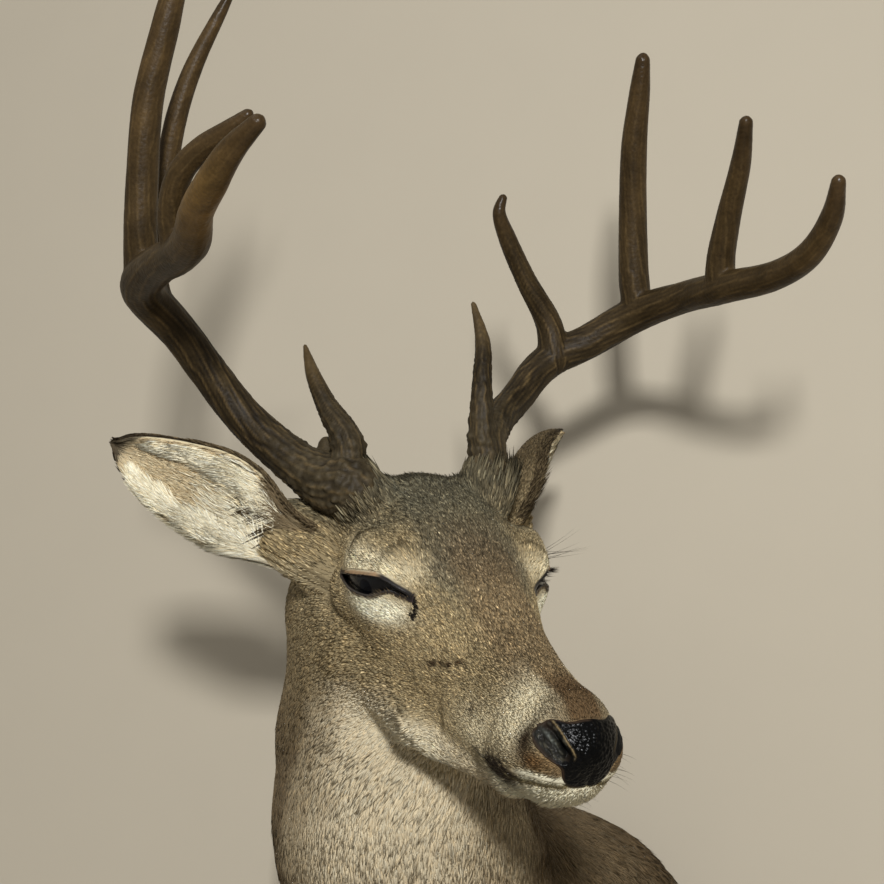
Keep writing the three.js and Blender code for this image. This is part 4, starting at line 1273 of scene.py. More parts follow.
# ======== nose ========
def nose_marks(local, margin):
    """Where the nostril, its wing and sheath, the groove and the pebbles lie, for places on the
    plain muzzle and the share of the way out to the bare nose's edge that each one is at."""
    left, up = np.abs(local[:, 0] - NOSE_MIDDLE), local[:, 2]
    hole_l, hole_u, way_l, way_u, half_length, half_width = NOSTRIL
    dl, du = left - hole_l, up - hole_u
    rho = np.hypot((dl * way_l + du * way_u) / half_length,
                   (dl * way_u - du * way_l) / half_width)
    alar = distance_to_path(left, up, WING)
    world = from_head(local)
    fray = wave_noise(world, 2.5, 4, 2)
    wing_left = np.interp(up, WING[::-1, 1], WING[::-1, 0])
    beyond = left > wing_left
    inside_wing = (left < wing_left) | (up < WING[-1, 1])
    near_side = smooth((NOSE_MIDDLE - local[:, 0]) / 4)
    on_pad = smooth((alar - 1.0) / 1.2) * (1 - smooth((1.25 - rho) / 0.15))
    sunk = 2.2 * smooth((left - wing_left) / 5) * smooth((up + 52) / 4)
    return SimpleNamespace(
        up=up,
        margin=margin,
        alar=alar,
        fray=fray,
        beyond=beyond,
        outer=np.where(inside_wing, 0.0, 1.0),
        near_side=near_side,
        on_pad=on_pad * np.where(inside_wing, 1.0, 0.25) * smooth((1 - margin) / 0.08),
        sheath=smooth((1.12 - rho) / 0.25) * beyond,
        slit=bell((alar - 3.6) / 1.1) * bell((up + 42.5) / 5.5) * beyond,
        ridge_and_highlight=bell((alar - 6.6 + 0.4 * fray) / 1.0) * bell((up + 38.5) / 3.6) * beyond,
        wing=bell((alar + 0.35 * fray) / mix(0.9, 0.42, near_side)),
        cleft=bell(left / 1.0) * smooth((-up - 50) / 6),
        sunk=sunk * smooth((1 - margin) / 0.2),
        pebble=np.clip(0.75 - cell_noise(world + 1000, PEBBLE_SIZE, 1.0), 0, 1),
        wrinkle=wave_noise(world * [1.0, 1.0, 0.5], 3.2, 9, 3),
    )


def paint_nose(m):
    """Black leather, greyer in the nostril's sheath and brown along the edge and the wing."""
    paint = Paint(colour(5, 5, 5), m.up.shape, 0.75)
    lay = paint.lay
    lay(colour(44, 36, 28), m.outer * smooth((m.alar - 1.5) / 2) * 0.9, 0.15)
    lay(colour(24, 25, 22), m.sheath * (0.85 + 0.2 * m.wrinkle), 0.35)
    lay(colour(70, 66, 54), 0.6 * m.sheath * smooth((m.wrinkle - 0.25) / 0.4), 0.3)
    # painted shade: the nostril's slit black
    lay(colour(8, 8, 8), 1.2 * m.slit, 0.4)
    # painted highlight: pale grey along the ridge beside the nostril's slit, which is also raised
    lay(colour(104, 108, 102), 0.75 * m.ridge_and_highlight * (0.7 + 0.5 * m.fray), 0.5)
    lay(colour(40, 30, 22), bell((m.up + 32) / 2.2) * bell((m.alar - 6) / 4) * m.beyond, 0.1)
    pale_wing = m.wing * smooth((m.up + 49) / 6) * (0.75 + 0.4 * m.fray)
    lay(colour(150, 130, 92), mix(0.2, 0.85, m.near_side) * pale_wing, 0.2)
    lay(colour(8, 8, 8), 0.85 * m.outer * (1 - m.near_side), 0.3)
    lay(colour(50, 38, 28), 0.8 * smooth((m.margin - 0.94) / 0.06) * m.near_side, 0.2)
    return paint


def build_nose():
    """Rays from inside the muzzle out to the coat's outline, over the bare nose, then pressed
    in at the nostrils and the groove between them, and raised at the wings and the pebbles."""
    columns = NOSE_COLUMNS
    theta = 2 * np.pi * np.arange(columns) / columns
    edge = np.interp(np.degrees(np.minimum(theta, 2 * np.pi - theta)), *NOSE_EDGE)
    edge = softened_loop(edge, 6)
    share = np.linspace(0.004, 1, NOSE_ROWS)[:, None]
    away = np.radians(np.vstack([edge * share, edge + NOSE_SKIRT[:, :1]]))
    rows = len(away)
    ways = np.stack([
        np.sin(away) * np.sin(theta), np.cos(away) + 0 * theta, np.sin(away) * np.cos(theta)
    ], -1).reshape(-1, 3)
    start = np.broadcast_to(from_head(NOSE_CENTRE), ways.shape)
    r = cast(hide_field, start, ways @ HEAD_AXES, 0, 60)
    margin = np.repeat(np.append(share[:, 0], np.ones(len(NOSE_SKIRT))), columns)
    m = nose_marks(NOSE_CENTRE + ways * r[:, None], margin)
    tuck = np.repeat(np.append(np.zeros(NOSE_ROWS), NOSE_SKIRT[:, 1]), columns)
    calm = mix(0.35, 1.0, m.near_side)
    r = r + calm * (0.9 * m.ridge_and_highlight + 0.6 * m.wing - 5.5 * m.slit - m.sunk) - 0.9 * m.cleft
    r = r + 0.9 * m.pebble * m.on_pad + 0.8 * calm * m.wrinkle * m.sheath - tuck + 0.25
    points = from_head(NOSE_CENTRE + ways * r[:, None])

    hub = from_head(NOSE_CENTRE + np.array([0, 1, 0]) * r[0])
    vertices = np.vstack([points, hub])
    faces = [grid_faces(rows, columns), fan_faces(np.arange(columns), rows * columns, True)]
    faces = [oriented(vertices, f, from_head(NOSE_CENTRE)) for f in faces]
    paint = paint_nose(m)
    tints = np.vstack([paint.tints, paint.tints[:1]])
    wet = np.append(paint.wet, paint.wet[0])
    material = bare_skin_material("nose_leather", {
        "Specular IOR Level": 0.1, "Coat Weight": 0.04, "Coat Roughness": 0.16})
    return add_piece("nose", vertices, faces, material, ("nose_pad",), tints, None, wet)


# ======== ears ========
def ear_frame(name):
    """Start, span and the axis, across and facing ways of an ear."""
    root, tip, facing = (np.array(v, float) for v in EARS[name])
    start, span = from_head(root), (tip - root) @ HEAD_AXES
    axis, toward = unit(span), facing @ HEAD_AXES
    face = unit(toward - axis * (toward @ axis))
    return start, span, axis, np.cross(face, axis), face


def ear_surface(name, s, v, inset, fill=0.0):
    """An arc across the ear whose half angle falls from nearly closed at the root, with the
    radius that gives a leaf's outline; v runs -1 to 1 across it, inset draws it inward and
    fill lifts its middle toward the rims."""
    start, span, _, across, face = ear_frame(name)
    held = np.maximum(s, 0)
    half = np.radians(mix(*EAR_OPENING, smooth(held / 0.6)))
    swell = np.sin(np.pi * np.clip(0.1 + 0.894 * held, 0, 1)) ** 0.52
    half_width = mix(EAR_ROOT_RADIUS, EAR_HALF_WIDTH * swell, smooth(held / 0.4))
    radius = np.maximum(half_width / np.sin(np.minimum(half, np.pi / 2)), 3.4)
    angle = v * half
    ripple = 1.1 * np.sin(9 * held + 2.6 * v) * smooth(held / 0.3)
    r = np.maximum(radius - inset + ripple, 0.6)[..., None]
    cos, sin = np.cos(angle)[..., None], np.sin(angle)[..., None]
    centre = start + span * s[..., None] + face * (0.45 * radius)[..., None]
    hollow = np.maximum(cos - np.maximum(np.cos(half), 0)[..., None], 0)
    lifted = fill * hollow
    point = centre + across * r * sin - face * r * (cos - lifted)
    return point, unit(across * sin - face * cos + 0 * centre)


def ear_thickness(s, v):
    """Thick along the middle, thin at the rims and the tip."""
    return 0.7 + 1.9 * (1 - np.abs(v) ** 5) * smooth((1.05 - s) / 0.25)


def build_ear(name):
    """The outer and inner faces of a cupped leaf, joined round the rim, the root and the tip."""
    rows, columns = EAR_ROWS, EAR_COLUMNS
    s = np.linspace(-EAR_BURIED, 1, rows)[:, None] + np.zeros(columns)
    v = np.linspace(-1, 1, columns) + np.zeros((rows, 1))
    outer, _ = ear_surface(name, s, v, EAR_COAT + 0 * s)
    inner, _ = ear_surface(name, s, v, EAR_COAT + ear_thickness(s, v), EAR_FILL)
    loops = np.concatenate([outer, inner[:, ::-1]], axis=1)
    width = 2 * columns
    index = np.arange(columns - 1)
    caps = []
    for row, turn in ((0, 1), (rows - 1, -1)):
        a, c = row * width + index, row * width + width - 1 - index
        caps.append(np.stack([a, a + 1, c - 1, c], 1)[:, ::turn])
    points = loops.reshape(-1, 3)
    faces = np.vstack([grid_faces(rows, width), *caps])
    faces = ear_facing(points, faces, rows, columns, width)

    rim = np.abs(v) ** 3
    back = Paint(colour(116, 102, 78), s.shape)
    back.lay(BLACK_BROWN, 0.9 * smooth((s - 0.78) / 0.2))
    back.lay(BLACK_BROWN, 0.75 * smooth((rim - 0.82) / 0.15) * smooth(s / 0.4))
    front = Paint(colour(186, 164, 130), s.shape)
    front.lay(CREAM * 0.95, smooth(rim / 0.5))
    front.lay(BLACK_BROWN, 0.85 * smooth((s - 0.9) / 0.06))
    front.lay(EAR_BROWN, over_rim(s, v * EAR_LOWER_RIM[name]))
    tints = np.concatenate([back.tints, front.tints[:, ::-1]], axis=1)
    return add_piece(f"ear_shell_{name}", points, [faces], skin_material(), (f"ear_{name}",),
                     tints)


def ear_facing(points, faces, rows, columns, width):
    """Turns the faces over if the outer face looks into the cup."""
    middle = (rows // 2) * width + columns // 2
    outer, opposite = points[middle], points[(rows // 2) * width + width - 1 - columns // 2]
    hit = faces[np.any(faces == middle, axis=1)]
    corner = points[hit[:, 0]]
    normal = np.cross(points[hit[:, 1]] - corner, points[hit[:, 2]] - corner).sum(0)
    return faces if normal @ (outer - opposite) > 0 else faces[:, ::-1]


def ear_locks(name, s, v, inner, length, width, rise, sideways, tints):
    """Locks that follow one face of an ear toward its tip, leaning sideways: root, middle and
    tip are three places of the leaf, each standing a little farther off it."""
    step = 0.01
    inset = EAR_COAT + (ear_thickness(s, v) if inner else 0 * s)
    fill = EAR_FILL if inner else 0.0
    root, out = ear_surface(name, s, v, inset, fill)
    ahead, _ = ear_surface(name, s + step, v, inset, fill)
    beside, _ = ear_surface(name, s, v + step, inset, fill)
    lean = np.arctan(sideways)
    ds = length * np.cos(lean) * step / np.linalg.norm(ahead - root, axis=1)
    dv = length * np.sin(lean) * step / np.maximum(np.linalg.norm(beside - root, axis=1), 0.1)
    dv = np.clip(v + dv, -1.1, 1.1) - v
    ds = np.minimum(ds, 1.03 - s)
    normal = unit(np.cross(ahead - root, beside - root))
    toward = ear_frame(name)[4] if inner else out
    normal = normal * np.sign((normal * toward).sum(1))[:, None]
    middle, _ = ear_surface(name, s + 0.45 * ds, v + 0.45 * dv, inset, fill)
    middle = middle + normal * (0.8 * rise)[:, None]
    tip, _ = ear_surface(name, s + ds, v + dv, inset, fill)
    tip = tip + normal * rise[:, None]
    across = unit(np.cross(normal, tip - root)) * width[:, None] / 2
    root = root - normal * 0.3
    locks = np.stack([root, middle + across, middle - across, tip], 1)
    uv = np.stack([(v + 1) / 2, np.clip(s, 0, 1)], 1) * 0.45 + [0.51 if inner else 0.02, 0.25]
    return locks, tints, lock_uv(uv)


def over_rim(s, v):
    """Where the brown fur of the back laps over the upper rim, wider toward the root."""
    return smooth((2.0 * (0.38 - s) - 1 - v) / 0.12 + 0.5) * smooth((0.42 - s) / 0.08)


def ear_back_hair(name, rng, count):
    """Short hair on the back, dark at the tip and along the edges."""
    s, v = rng.uniform(-0.14, 1.0, count), rng.uniform(-1, 1, count)
    tint = mix(colour(146, 129, 97), EAR_BACK, smooth((s - 0.15) / 0.3)[:, None])
    edge = smooth((np.abs(v) - 0.86) / 0.1) * smooth((s - 0.15) / 0.3)
    dark = np.maximum(smooth((s - 0.82) / 0.12), edge)
    tint = speckle(mix(tint, colour(40, 31, 20), 0.92 * dark[:, None]), rng, 0.2)
    return ear_locks(name, s, v, False, rng.uniform(5, 8, count), rng.uniform(0.6, 0.9, count),
                     rng.uniform(0.5, 1.3, count), rng.normal(0, 0.2, count),
                     lock_colours(tint, 0.65, 1.2))


def ear_edge_hair(name, rng, count):
    """Brown to black hair along the upper rim."""
    lower = EAR_LOWER_RIM[name]
    s, v = rng.uniform(0.0, 0.7, count), -rng.uniform(0.86, 1.0, count) * lower
    tint = mix(EAR_BACK, EAR_EDGE, rng.uniform(0, 1, (count, 1)))
    return ear_locks(name, s, v, False, rng.uniform(6, 12, count), rng.uniform(0.6, 0.9, count),
                     rng.uniform(0.5, 2.5, count), rng.uniform(-0.5, 0.0, count) * lower,
                     lock_colours(tint, 0.7, 1.2))


def ear_inner_hair(name, rng, count):
    """Tan hair that lines the cup."""
    s, v = rng.uniform(-0.02, 0.98, count), rng.uniform(-0.98, 0.98, count)
    tint = mix(colour(204, 183, 146), CREAM, rng.uniform(0, 0.8, count)[:, None])
    tint = mix(tint, EAR_EDGE, 0.9 * smooth((s - 0.88) / 0.05)[:, None])
    tint = mix(tint, EAR_BROWN, over_rim(s, v * EAR_LOWER_RIM[name])[:, None])
    tint = speckle(tint, rng, 0.05)
    return ear_locks(name, s, v, True, rng.uniform(7, 12, count), rng.uniform(0.6, 0.9, count),
                     rng.uniform(0.6, 1.3, count), rng.normal(0, 0.2, count),
                     lock_colours(tint, 0.92, 1.04))


def ear_long_hair(name, rng, count):
    """White hair that grows long from the root and from both rims into the cup."""
    place = rng.uniform(size=count)
    lower_rim, root_fan = place < 0.42, place > 0.72
    s = np.where(root_fan, rng.beta(1.1, 2.6, count) * 0.6, rng.uniform(0.06, 0.84, count))
    v = np.where(lower_rim, rng.uniform(0.5, 0.97, count), -rng.uniform(0.5, 0.95, count))
    v = np.where(root_fan, rng.uniform(-0.9, 0.9, count), v)
    tint = mix(CREAM, EAR_WHITE, rng.uniform(0, 1, count)[:, None])
    tint = mix(tint, EAR_BROWN, over_rim(s, v)[:, None])
    tint = mix(tint, colour(160, 143, 112), 0.6 * smooth((0.14 - s) / 0.14)[:, None])
    tint = speckle(tint, rng, 0.04)
    inward = np.where(lower_rim, rng.uniform(-0.45, 0.25, count), rng.uniform(0.1, 0.6, count))
    inward = np.where(root_fan, rng.normal(0, 0.15, count), inward)
    inward = inward + rng.normal(0, 0.1, count)
    phase = EAR_WAVE_START[name]
    wavy = 0.2 * np.sin(26 * s + 5 * v + phase) + 0.15 * np.sin(11 * s - 7 * v)
    lower = EAR_LOWER_RIM[name]
    return ear_locks(name, s, v * lower, True, rng.uniform(13, 24, count) * (1.15 - 0.6 * s),
                     rng.uniform(0.55, 0.85, count), rng.uniform(0.9, 2.4, count),
                     (inward + wavy) * lower, lock_colours(tint, 0.94, 1.03))


def ear_fringe(name, rng, count):
    """White hair that hangs out over the lower rim."""
    lower = EAR_LOWER_RIM[name]
    s = rng.uniform(0.0, 0.82, count)
    v = lower * (1 - rng.uniform(0, 1, count) * mix(0.3, 0.1, smooth(s / 0.6)))
    tint = mix(CREAM, EAR_WHITE, rng.uniform(0, 1, (count, 1)))
    return ear_locks(name, s, v, False, rng.uniform(9, 17, count) * (1.15 - 0.6 * s),
                     rng.uniform(0.55, 0.85, count), rng.uniform(0.9, 2.4, count),
                     rng.uniform(0.0, 0.6, count) * lower, lock_colours(tint, 0.94, 1.03))


EAR_HAIR = {
    ear_back_hair: 13000,
    ear_edge_hair: 1500,
    ear_inner_hair: 9000,
    ear_long_hair: 13500,
    ear_fringe: 1800,
}


def build_ear_coat(name, seed):
    """All of one ear's hair, without what would root in the head or point back to it."""
    rng = np.random.default_rng(seed)
    sets = [make(name, rng, count) for make, count in EAR_HAIR.items()]
    locks, tints, uv = (np.concatenate(parts) for parts in zip(*sets))
    forward = unit(locks[:, 3] - locks[:, 0]) @ ear_frame(name)[2] > 0.35
    clear = np.flatnonzero((hide_field(locks[:, 0]) > -6) & forward)
    uv = uv.reshape(-1, 4, 2)[clear].reshape(-1, 2)
    return add_piece(f"ear_coat_{name}", locks[clear], [lock_faces(len(clear))], hair_material(),
                     colours=tints[clear], bake_uv=uv, flat=True)


# ======== antlers ========
def smooth_run(points, step):
    """A curve through the points with parameter steps as the root of each gap's length, and
    its radius, which runs evenly between them."""
    p = np.asarray(points, float)
    place, radius = from_head(p[:, :3]), p[:, 3]
    place = np.vstack([2 * place[0] - place[1], place, 2 * place[-1] - place[-2]])
    gap = np.sqrt(np.linalg.norm(np.diff(place, axis=0), axis=1))[:, None]
    before, here, after = gap[:-2], gap[1:-1], gap[2:]
    x0, x1, x2, x3 = place[:-3], place[1:-2], place[2:-1], place[3:]
    t1 = ((x1 - x0) / before - (x2 - x0) / (before + here) + (x2 - x1) / here) * here
    t2 = ((x2 - x1) / here - (x3 - x1) / (here + after) + (x3 - x2) / after) * here
    total = np.linalg.norm(np.diff(place[1:-1], axis=0), axis=1).sum()
    count = max(8, int(total / step))
    at = np.linspace(0, len(radius) - 1, count + 1)
    i = np.minimum(at.astype(int), len(radius) - 2)
    curve = hermite(x1[i], t1[i], x2[i], t2[i], (at - i)[:, None])
    return curve, np.interp(at, np.arange(len(radius)), radius)


def transported(curve):
    """Normals that turn no more than the curve does, from ring to ring."""
    tangent = unit(np.gradient(curve, axis=0))
    normals = np.empty_like(curve)
    normal = np.array([0, 0.6, 0.8])
    for i, way in enumerate(tangent):
        normal = unit(normal - way * (normal @ way))
        normals[i] = normal
    return tangent, normals, np.cross(tangent, normals)


def tube(points):
    """A closed tube round a run of points, its end rounded off."""
    curve, radius = smooth_run(points, ANTLER_STEP)
    tangent, normal, across = transported(curve)
    curve = np.vstack([curve, curve[-1] + tangent[-1] * radius[-1] * 0.6])
    normal, across = np.vstack([normal, normal[-1]]), np.vstack([across, across[-1]])
    radius = np.append(radius, radius[-1] * 0.5)
    angle = 2 * np.pi * np.arange(ANTLER_SIDES) / ANTLER_SIDES
    ring = normal[:, None] * np.cos(angle)[:, None] + across[:, None] * np.sin(angle)[:, None]
    points = (curve[:, None] + ring * radius[:, None, None]).reshape(-1, 3)
    hubs = np.stack([curve[0], curve[-1] + tangent[-1] * radius[-1] * 0.4])
    quads, *caps = capped_faces(len(curve), ANTLER_SIDES)
    return np.vstack([points, hubs]), quads, np.vstack(caps)


def remeshed(vertices, quads, triangles, voxel):
    """One even skin round overlapping closed shapes, in millimetres."""
    mesh = bpy.data.meshes.new("remesh")
    mesh.from_pydata((vertices * MM).tolist(), [], quads.tolist() + triangles.tolist())
    thing = placed("remesh", mesh)
    remesh = thing.modifiers.new("Remesh", "REMESH")
    remesh.mode = "VOXEL"
    remesh.voxel_size = voxel * MM
    soften = thing.modifiers.new("Soften", "SMOOTH")
    soften.factor = 0.5
    soften.iterations = 5
    whole = thing.evaluated_get(bpy.context.evaluated_depsgraph_get())
    made = whole.to_mesh()
    points, normals = (read(made.vertices, key, 3).astype(float) for key in ("co", "normal"))
    corners = read(made.loops, "vertex_index", kind=np.int32)
    starts = read(made.polygons, "loop_start", kind=np.int32)
    sizes = np.diff(np.append(starts, len(corners)))
    four = corners[starts[sizes == 4][:, None] + np.arange(4)]
    three = corners[starts[sizes == 3][:, None] + np.arange(3)]
    whole.to_mesh_clear()
    bpy.data.objects.remove(thing)
    bpy.data.meshes.remove(mesh)
    return points / MM, normals, four, three


def nearest_run(points, runs):
    """For each point the number of the nearest run, the angle round it, the millimetres from
    its root and the millimetres to its tip."""
    best = np.full(len(points), 1e9)
    found = np.zeros((4, len(points)))
    for number, run in enumerate(runs):
        curve, radius = smooth_run(run, ANTLER_STEP)
        tangent, normal, across = transported(curve)
        travelled = np.concatenate([[0], np.cumsum(np.linalg.norm(np.diff(curve, axis=0), axis=1))])
        for low in range(0, len(points), BATCH):
            part = slice(low, low + BATCH)
            away = np.linalg.norm(points[part, None] - curve[None], axis=2) - radius
            index = away.argmin(1)
            nearest = away[np.arange(len(index)), index]
            d = points[part] - curve[index]
            angle = np.arctan2((d * across[index]).sum(1), (d * normal[index]).sum(1))
            along = travelled[index] + (d * tangent[index]).sum(1)
            values = np.stack([along * 0 + number, angle, along, travelled[-1] - along])
            closer = nearest < best[part]
            found[:, part] = np.where(closer, values, found[:, part])
            best[part] = np.where(closer, nearest, best[part])
    return found


def build_antler(name, seed):
    """The beam and its tines as one closed bone: grooves along it, pearls near the root and a
    knobbed burr, all deepest at the root and gone at the polished tips."""
    runs = ANTLERS[name]
    parts, quads, triangles, offset = [], [], [], 0
    for run in runs.values():
        vertices, four, three = tube(run)
        parts.append(vertices)
        quads.append(four + offset)
        triangles.append(three + offset)
        offset += len(vertices)
    points, normals, four, three = remeshed(
        np.vstack(parts), np.vstack(quads), np.vstack(triangles), ANTLER_VOXEL)
    run, angle, along, to_tip = nearest_run(points, runs.values())
    beam = np.asarray(runs["beam"], float)
    burr = from_head(beam[1, :3])
    from_burr = np.linalg.norm(points - burr, axis=1)
    rough = (1 - smooth((from_burr - 30) / 240)) * smooth(to_tip / 60)
    twist = angle + 0.5 * np.sin(along / 40 + seed)
    wander = wave_noise(points, 34, seed + 11, 3)
    groove = 0.6 * np.sin(9 * twist + 2.2 * wander) + 0.8 * np.sin(17 * twist + 3 * wander + 1)
    groove = (groove + 0.7 * np.sin(26 * twist - 2 * wander)) / 2.1
    shallow = 0.1 + 0.5 * rough
    pearl = np.clip(0.62 - cell_noise(points + 500, PEARL_SIZE, seed), 0, 1)
    pearl_amount = 2.6 * (1 - smooth((from_burr - 22) / 75))
    burr_ring = bell((along - 27) / 6) * (from_burr < 32)
    height = groove * shallow + pearl * pearl_amount * smooth(to_tip / 40)
    height = height + burr_ring * (0.6 + 2.6 * pearl)
    points = points + normals * height[:, None]

    bone = Paint(colour(50, 41, 25), (len(points),))
    bone.lay(colour(66, 51, 29), smooth((from_burr - 60) / 260))
    bone.lay(colour(24, 18, 11), smooth((0.25 - groove) / 0.8) * (0.2 + 0.7 * rough))
    bone.lay(colour(104, 85, 54), smooth((groove - 0.2) / 0.7) * (0.22 + 0.3 * rough))
    grey = (1 - smooth((from_burr - 30) / 50)) * (0.25 + 0.8 * pearl)
    bone.lay(colour(74, 66, 50), np.minimum(grey, 0.6))
    tip = smooth((50 - to_tip) / 50) * smooth((from_burr - 50) / 30)
    brow = run == list(runs).index("brow_tine")
    bone.lay(colour(104, 86, 58), 0.4 * tip * brow)
    bone.lay(colour(46, 35, 22), 0.6 * tip * ~brow)
    golden = bell((to_tip - 74) / 38) * (run == 0) * (name == "right")
    bone.lay(colour(122, 94, 50), 0.6 * golden)
    tints = bone.tints * (1.08 + 0.3 * wave_noise(points, 24, seed, 3))[:, None]
    polish = np.clip(0.35 + 0.5 * tip + 0.25 * (1 - rough) - 0.3 * pearl, 0, 1)
    nodes = [f"antler_{name}_{part}" for part in (
        "beam_lower", "beam_upper", "brow_tine", "second_tine", "third_tine", "fourth_tine")]
    material = carried_material("antler_bone", (420.0, 38.0, 0.3), (0.5, 0.0007),
                                {"Specular IOR Level": 0.14}, (0.66, 0.3))
    return add_piece(f"antler_{name}", points, [four, three], material, nodes,
                     np.clip(tints, 0, 1), None, polish)


# ======== whiskers and lashes ========
def bristles(root, way, bend, length, radius):
    """Tapered three-sided hairs of six rings that curve from one way toward another."""
    rings, sides = 6, 3
    t = np.linspace(0, 1, rings)[None, :, None]
    curve = root[:, None] + (way[:, None] * t + bend[:, None] * t * t) * length[:, None, None]
    along = unit(way[:, None] + 2 * bend[:, None] * t)
    side = unit(np.cross(along, np.array([0.31, 0.2, 0.93])))
    other = np.cross(along, side)
    angle = 2 * np.pi * np.arange(sides) / sides
    thin = radius[:, None, None, None] * (1.02 - t)[..., None]
    ring = side[:, :, None] * np.cos(angle)[:, None] + other[:, :, None] * np.sin(angle)[:, None]
    points = curve[:, :, None] + ring * thin
    offset = rings * sides * np.arange(len(root))[:, None, None]
    quads = (grid_faces(rings, sides)[None] + offset).reshape(-1, 4)
    last = (rings - 1) * sides
    ends = np.array([[2, 1, 0], [last, last + 1, last + 2]])
    caps = (ends[None] + offset).reshape(-1, 3)
    return points.reshape(-1, 3), quads, caps


def hairs_on_lid(side, a, v, lean, bend, length, radius):
    """Hairs rooted on a lid at along and up, that lean by along, up and outward."""
    w = lid_surface(a[:, None], v[:, None], side)[:, 0]
    root = from_eye_chart(np.stack([a, v, w], 1), side)
    way = unit((np.stack(lean, 1) @ EYE_AXES * [side, 1, 1]) @ HEAD_AXES)
    return root, way, np.tile(bend, (len(a), 1)), length, np.full(len(a), radius)


def build_whiskers(seed):
    """Lashes along the upper lids, long brow hairs, and sparse whiskers on lips and chin."""
    rng = np.random.default_rng(seed)
    parts = []
    for side in (1, -1):
        count = LASHES
        a = rng.uniform(-16, 21, count)
        v = np.interp(a, *UPPER_LID) + rng.uniform(0.0, 0.8, count)
        lean = (0.25 + 0.02 * a, rng.uniform(-0.35, 0.1, count), np.full(count, 0.9))
        parts.append(hairs_on_lid(side, a, v, lean, UP * 0.25 - FORWARD * 0.1,
                                  rng.uniform(4.5, 8.5, count), 0.22))
        count = BROW_HAIRS
        a, v = rng.uniform(-14, 12, count), rng.uniform(15, 19, count)
        lean = (rng.normal(0.1, 0.3, count), rng.uniform(0.1, 0.7, count), np.full(count, 0.9))
        parts.append(hairs_on_lid(side, a, v, lean, -FORWARD * 0.15,
                                  rng.uniform(20, 36, count), 0.14))
        count = LIP_WHISKERS
        forward = rng.uniform(120, 184, count)
        up = np.where(rng.uniform(size=count) < 0.6, rng.uniform(-62, -40, count),
                      rng.uniform(-84, -72, count))
        start = from_head(np.stack([np.zeros(count), forward, up], 1))
        outward = unit(np.stack([np.full(count, 1.0 * side), rng.uniform(0, 0.5, count),
                                 rng.uniform(-0.6, -0.1, count)], 1) @ HEAD_AXES)
        r = cast(lambda p: hide_field(p) + 1, start, outward, 0, 60)
        root = start + outward * r[:, None]
        bend = np.tile(-FORWARD * 0.3 - UP * 0.2, (count, 1))
        parts.append((root, outward, bend, rng.uniform(10, 24, count), np.full(count, 0.13)))
    root, way, bend, length, radius = (np.concatenate(p) for p in zip(*parts))
    points, quads, caps = bristles(root, way, bend, length, radius)
    tints = np.tile(colour(34, 27, 21), (len(points), 1))
    return add_piece("whiskers", points, [quads, caps], hair_material(),
                     colours=tints)


# ======== board, stage and camera ========
def wood_material():
    """Stained board: rings stretched along the grain, with a fine pore bump."""
    material, nodes, shader = new_material("board_wood", {
        "Roughness": 0.5, "Specular IOR Level": 0.4})
    where = nodes.add("ShaderNodeTexCoord").outputs["Object"]
    along = nodes.add("ShaderNodeMapping", {"Vector": where, "Scale": (26.0, 26.0, 3.0)})
    grain = nodes.add("ShaderNodeTexNoise", {
        "Vector": along.outputs[0], "Scale": 3.0, "Detail": 8.0, "Distortion": 1.4}).outputs[0]
    pores = nodes.add("ShaderNodeMapping", {"Vector": where, "Scale": (900.0, 900.0, 60.0)})
    pore = nodes.add("ShaderNodeTexNoise", {"Vector": pores.outputs[0], "Scale": 1.0}).outputs[0]
    tint = nodes.blend(nodes.spread(grain, 0.35, 0.65), tuple(colour(74, 46, 26)),
                       tuple(colour(128, 86, 50)))
    finish_material(nodes, shader, tint, pore, 0.25, 0.0003)
    return material


def stage_material(name, tint, one_sided):
    """Matt paint; a one-sided wall lets through every ray from behind, and every ray that
    starts within 5 mm of it, so that the back of the board is lit."""
    material, nodes, shader = new_material(name, {"Roughness": 0.95, "Specular IOR Level": 0.1})
    group = vary(nodes, tint, 14.0, 1.5, 0.012)
    nodes.tree.links.new(group.outputs["Color"], shader.inputs["Base Color"])
    if one_sided:
        clear = nodes.add("ShaderNodeBsdfTransparent").outputs[0]
        behind = nodes.add("ShaderNodeNewGeometry").outputs["Backfacing"]
        reach = nodes.add("ShaderNodeLightPath").outputs["Ray Length"]
        behind = nodes.math("MAXIMUM", behind, nodes.math("LESS_THAN", reach, 0.005))
        both = nodes.add("ShaderNodeMixShader", {0: behind, 1: shader.outputs[0], 2: clear})
        out = next(n for n in material.node_tree.nodes if n.type == "OUTPUT_MATERIAL")
        nodes.tree.links.new(both.outputs[0], out.inputs["Surface"])
    return material


def stage_plane(name, corners, material):
    """A flat four-cornered stage piece, in metres."""
    mesh = bpy.data.meshes.new(name)
    mesh.from_pydata(corners, [], [(0, 1, 2, 3)])
    mesh.materials.append(material)
    plane = placed(name, mesh)


def area_light(name, place, aim, size, power, tint=(1, 1, 1)):
    """A square soft lamp that faces a point."""
    data = bpy.data.lights.new(name, "AREA")
    data.shape = "SQUARE"
    data.size = size
    data.energy = power
    data.color = tint
    lamp = placed(name, data)
    lamp.location = place
    toward = Vector(aim) - Vector(place)
    lamp.rotation_euler = toward.to_track_quat("-Z", "Y").to_euler()


# ======== settings ========
class BuckSettings(bpy.types.PropertyGroup):
    """How much of the coat is built, and the start of its random numbers, that a user would change.
    """

    coat_share: bpy.props.FloatProperty(
        name="Coat share", description="Share of the full number of locks", default=1.0,
        min=0.05, max=1.0, subtype="FACTOR")
    coat_seed: bpy.props.IntProperty(
        name="Coat seed", description="Start of the coat's random numbers", default=20, min=0)


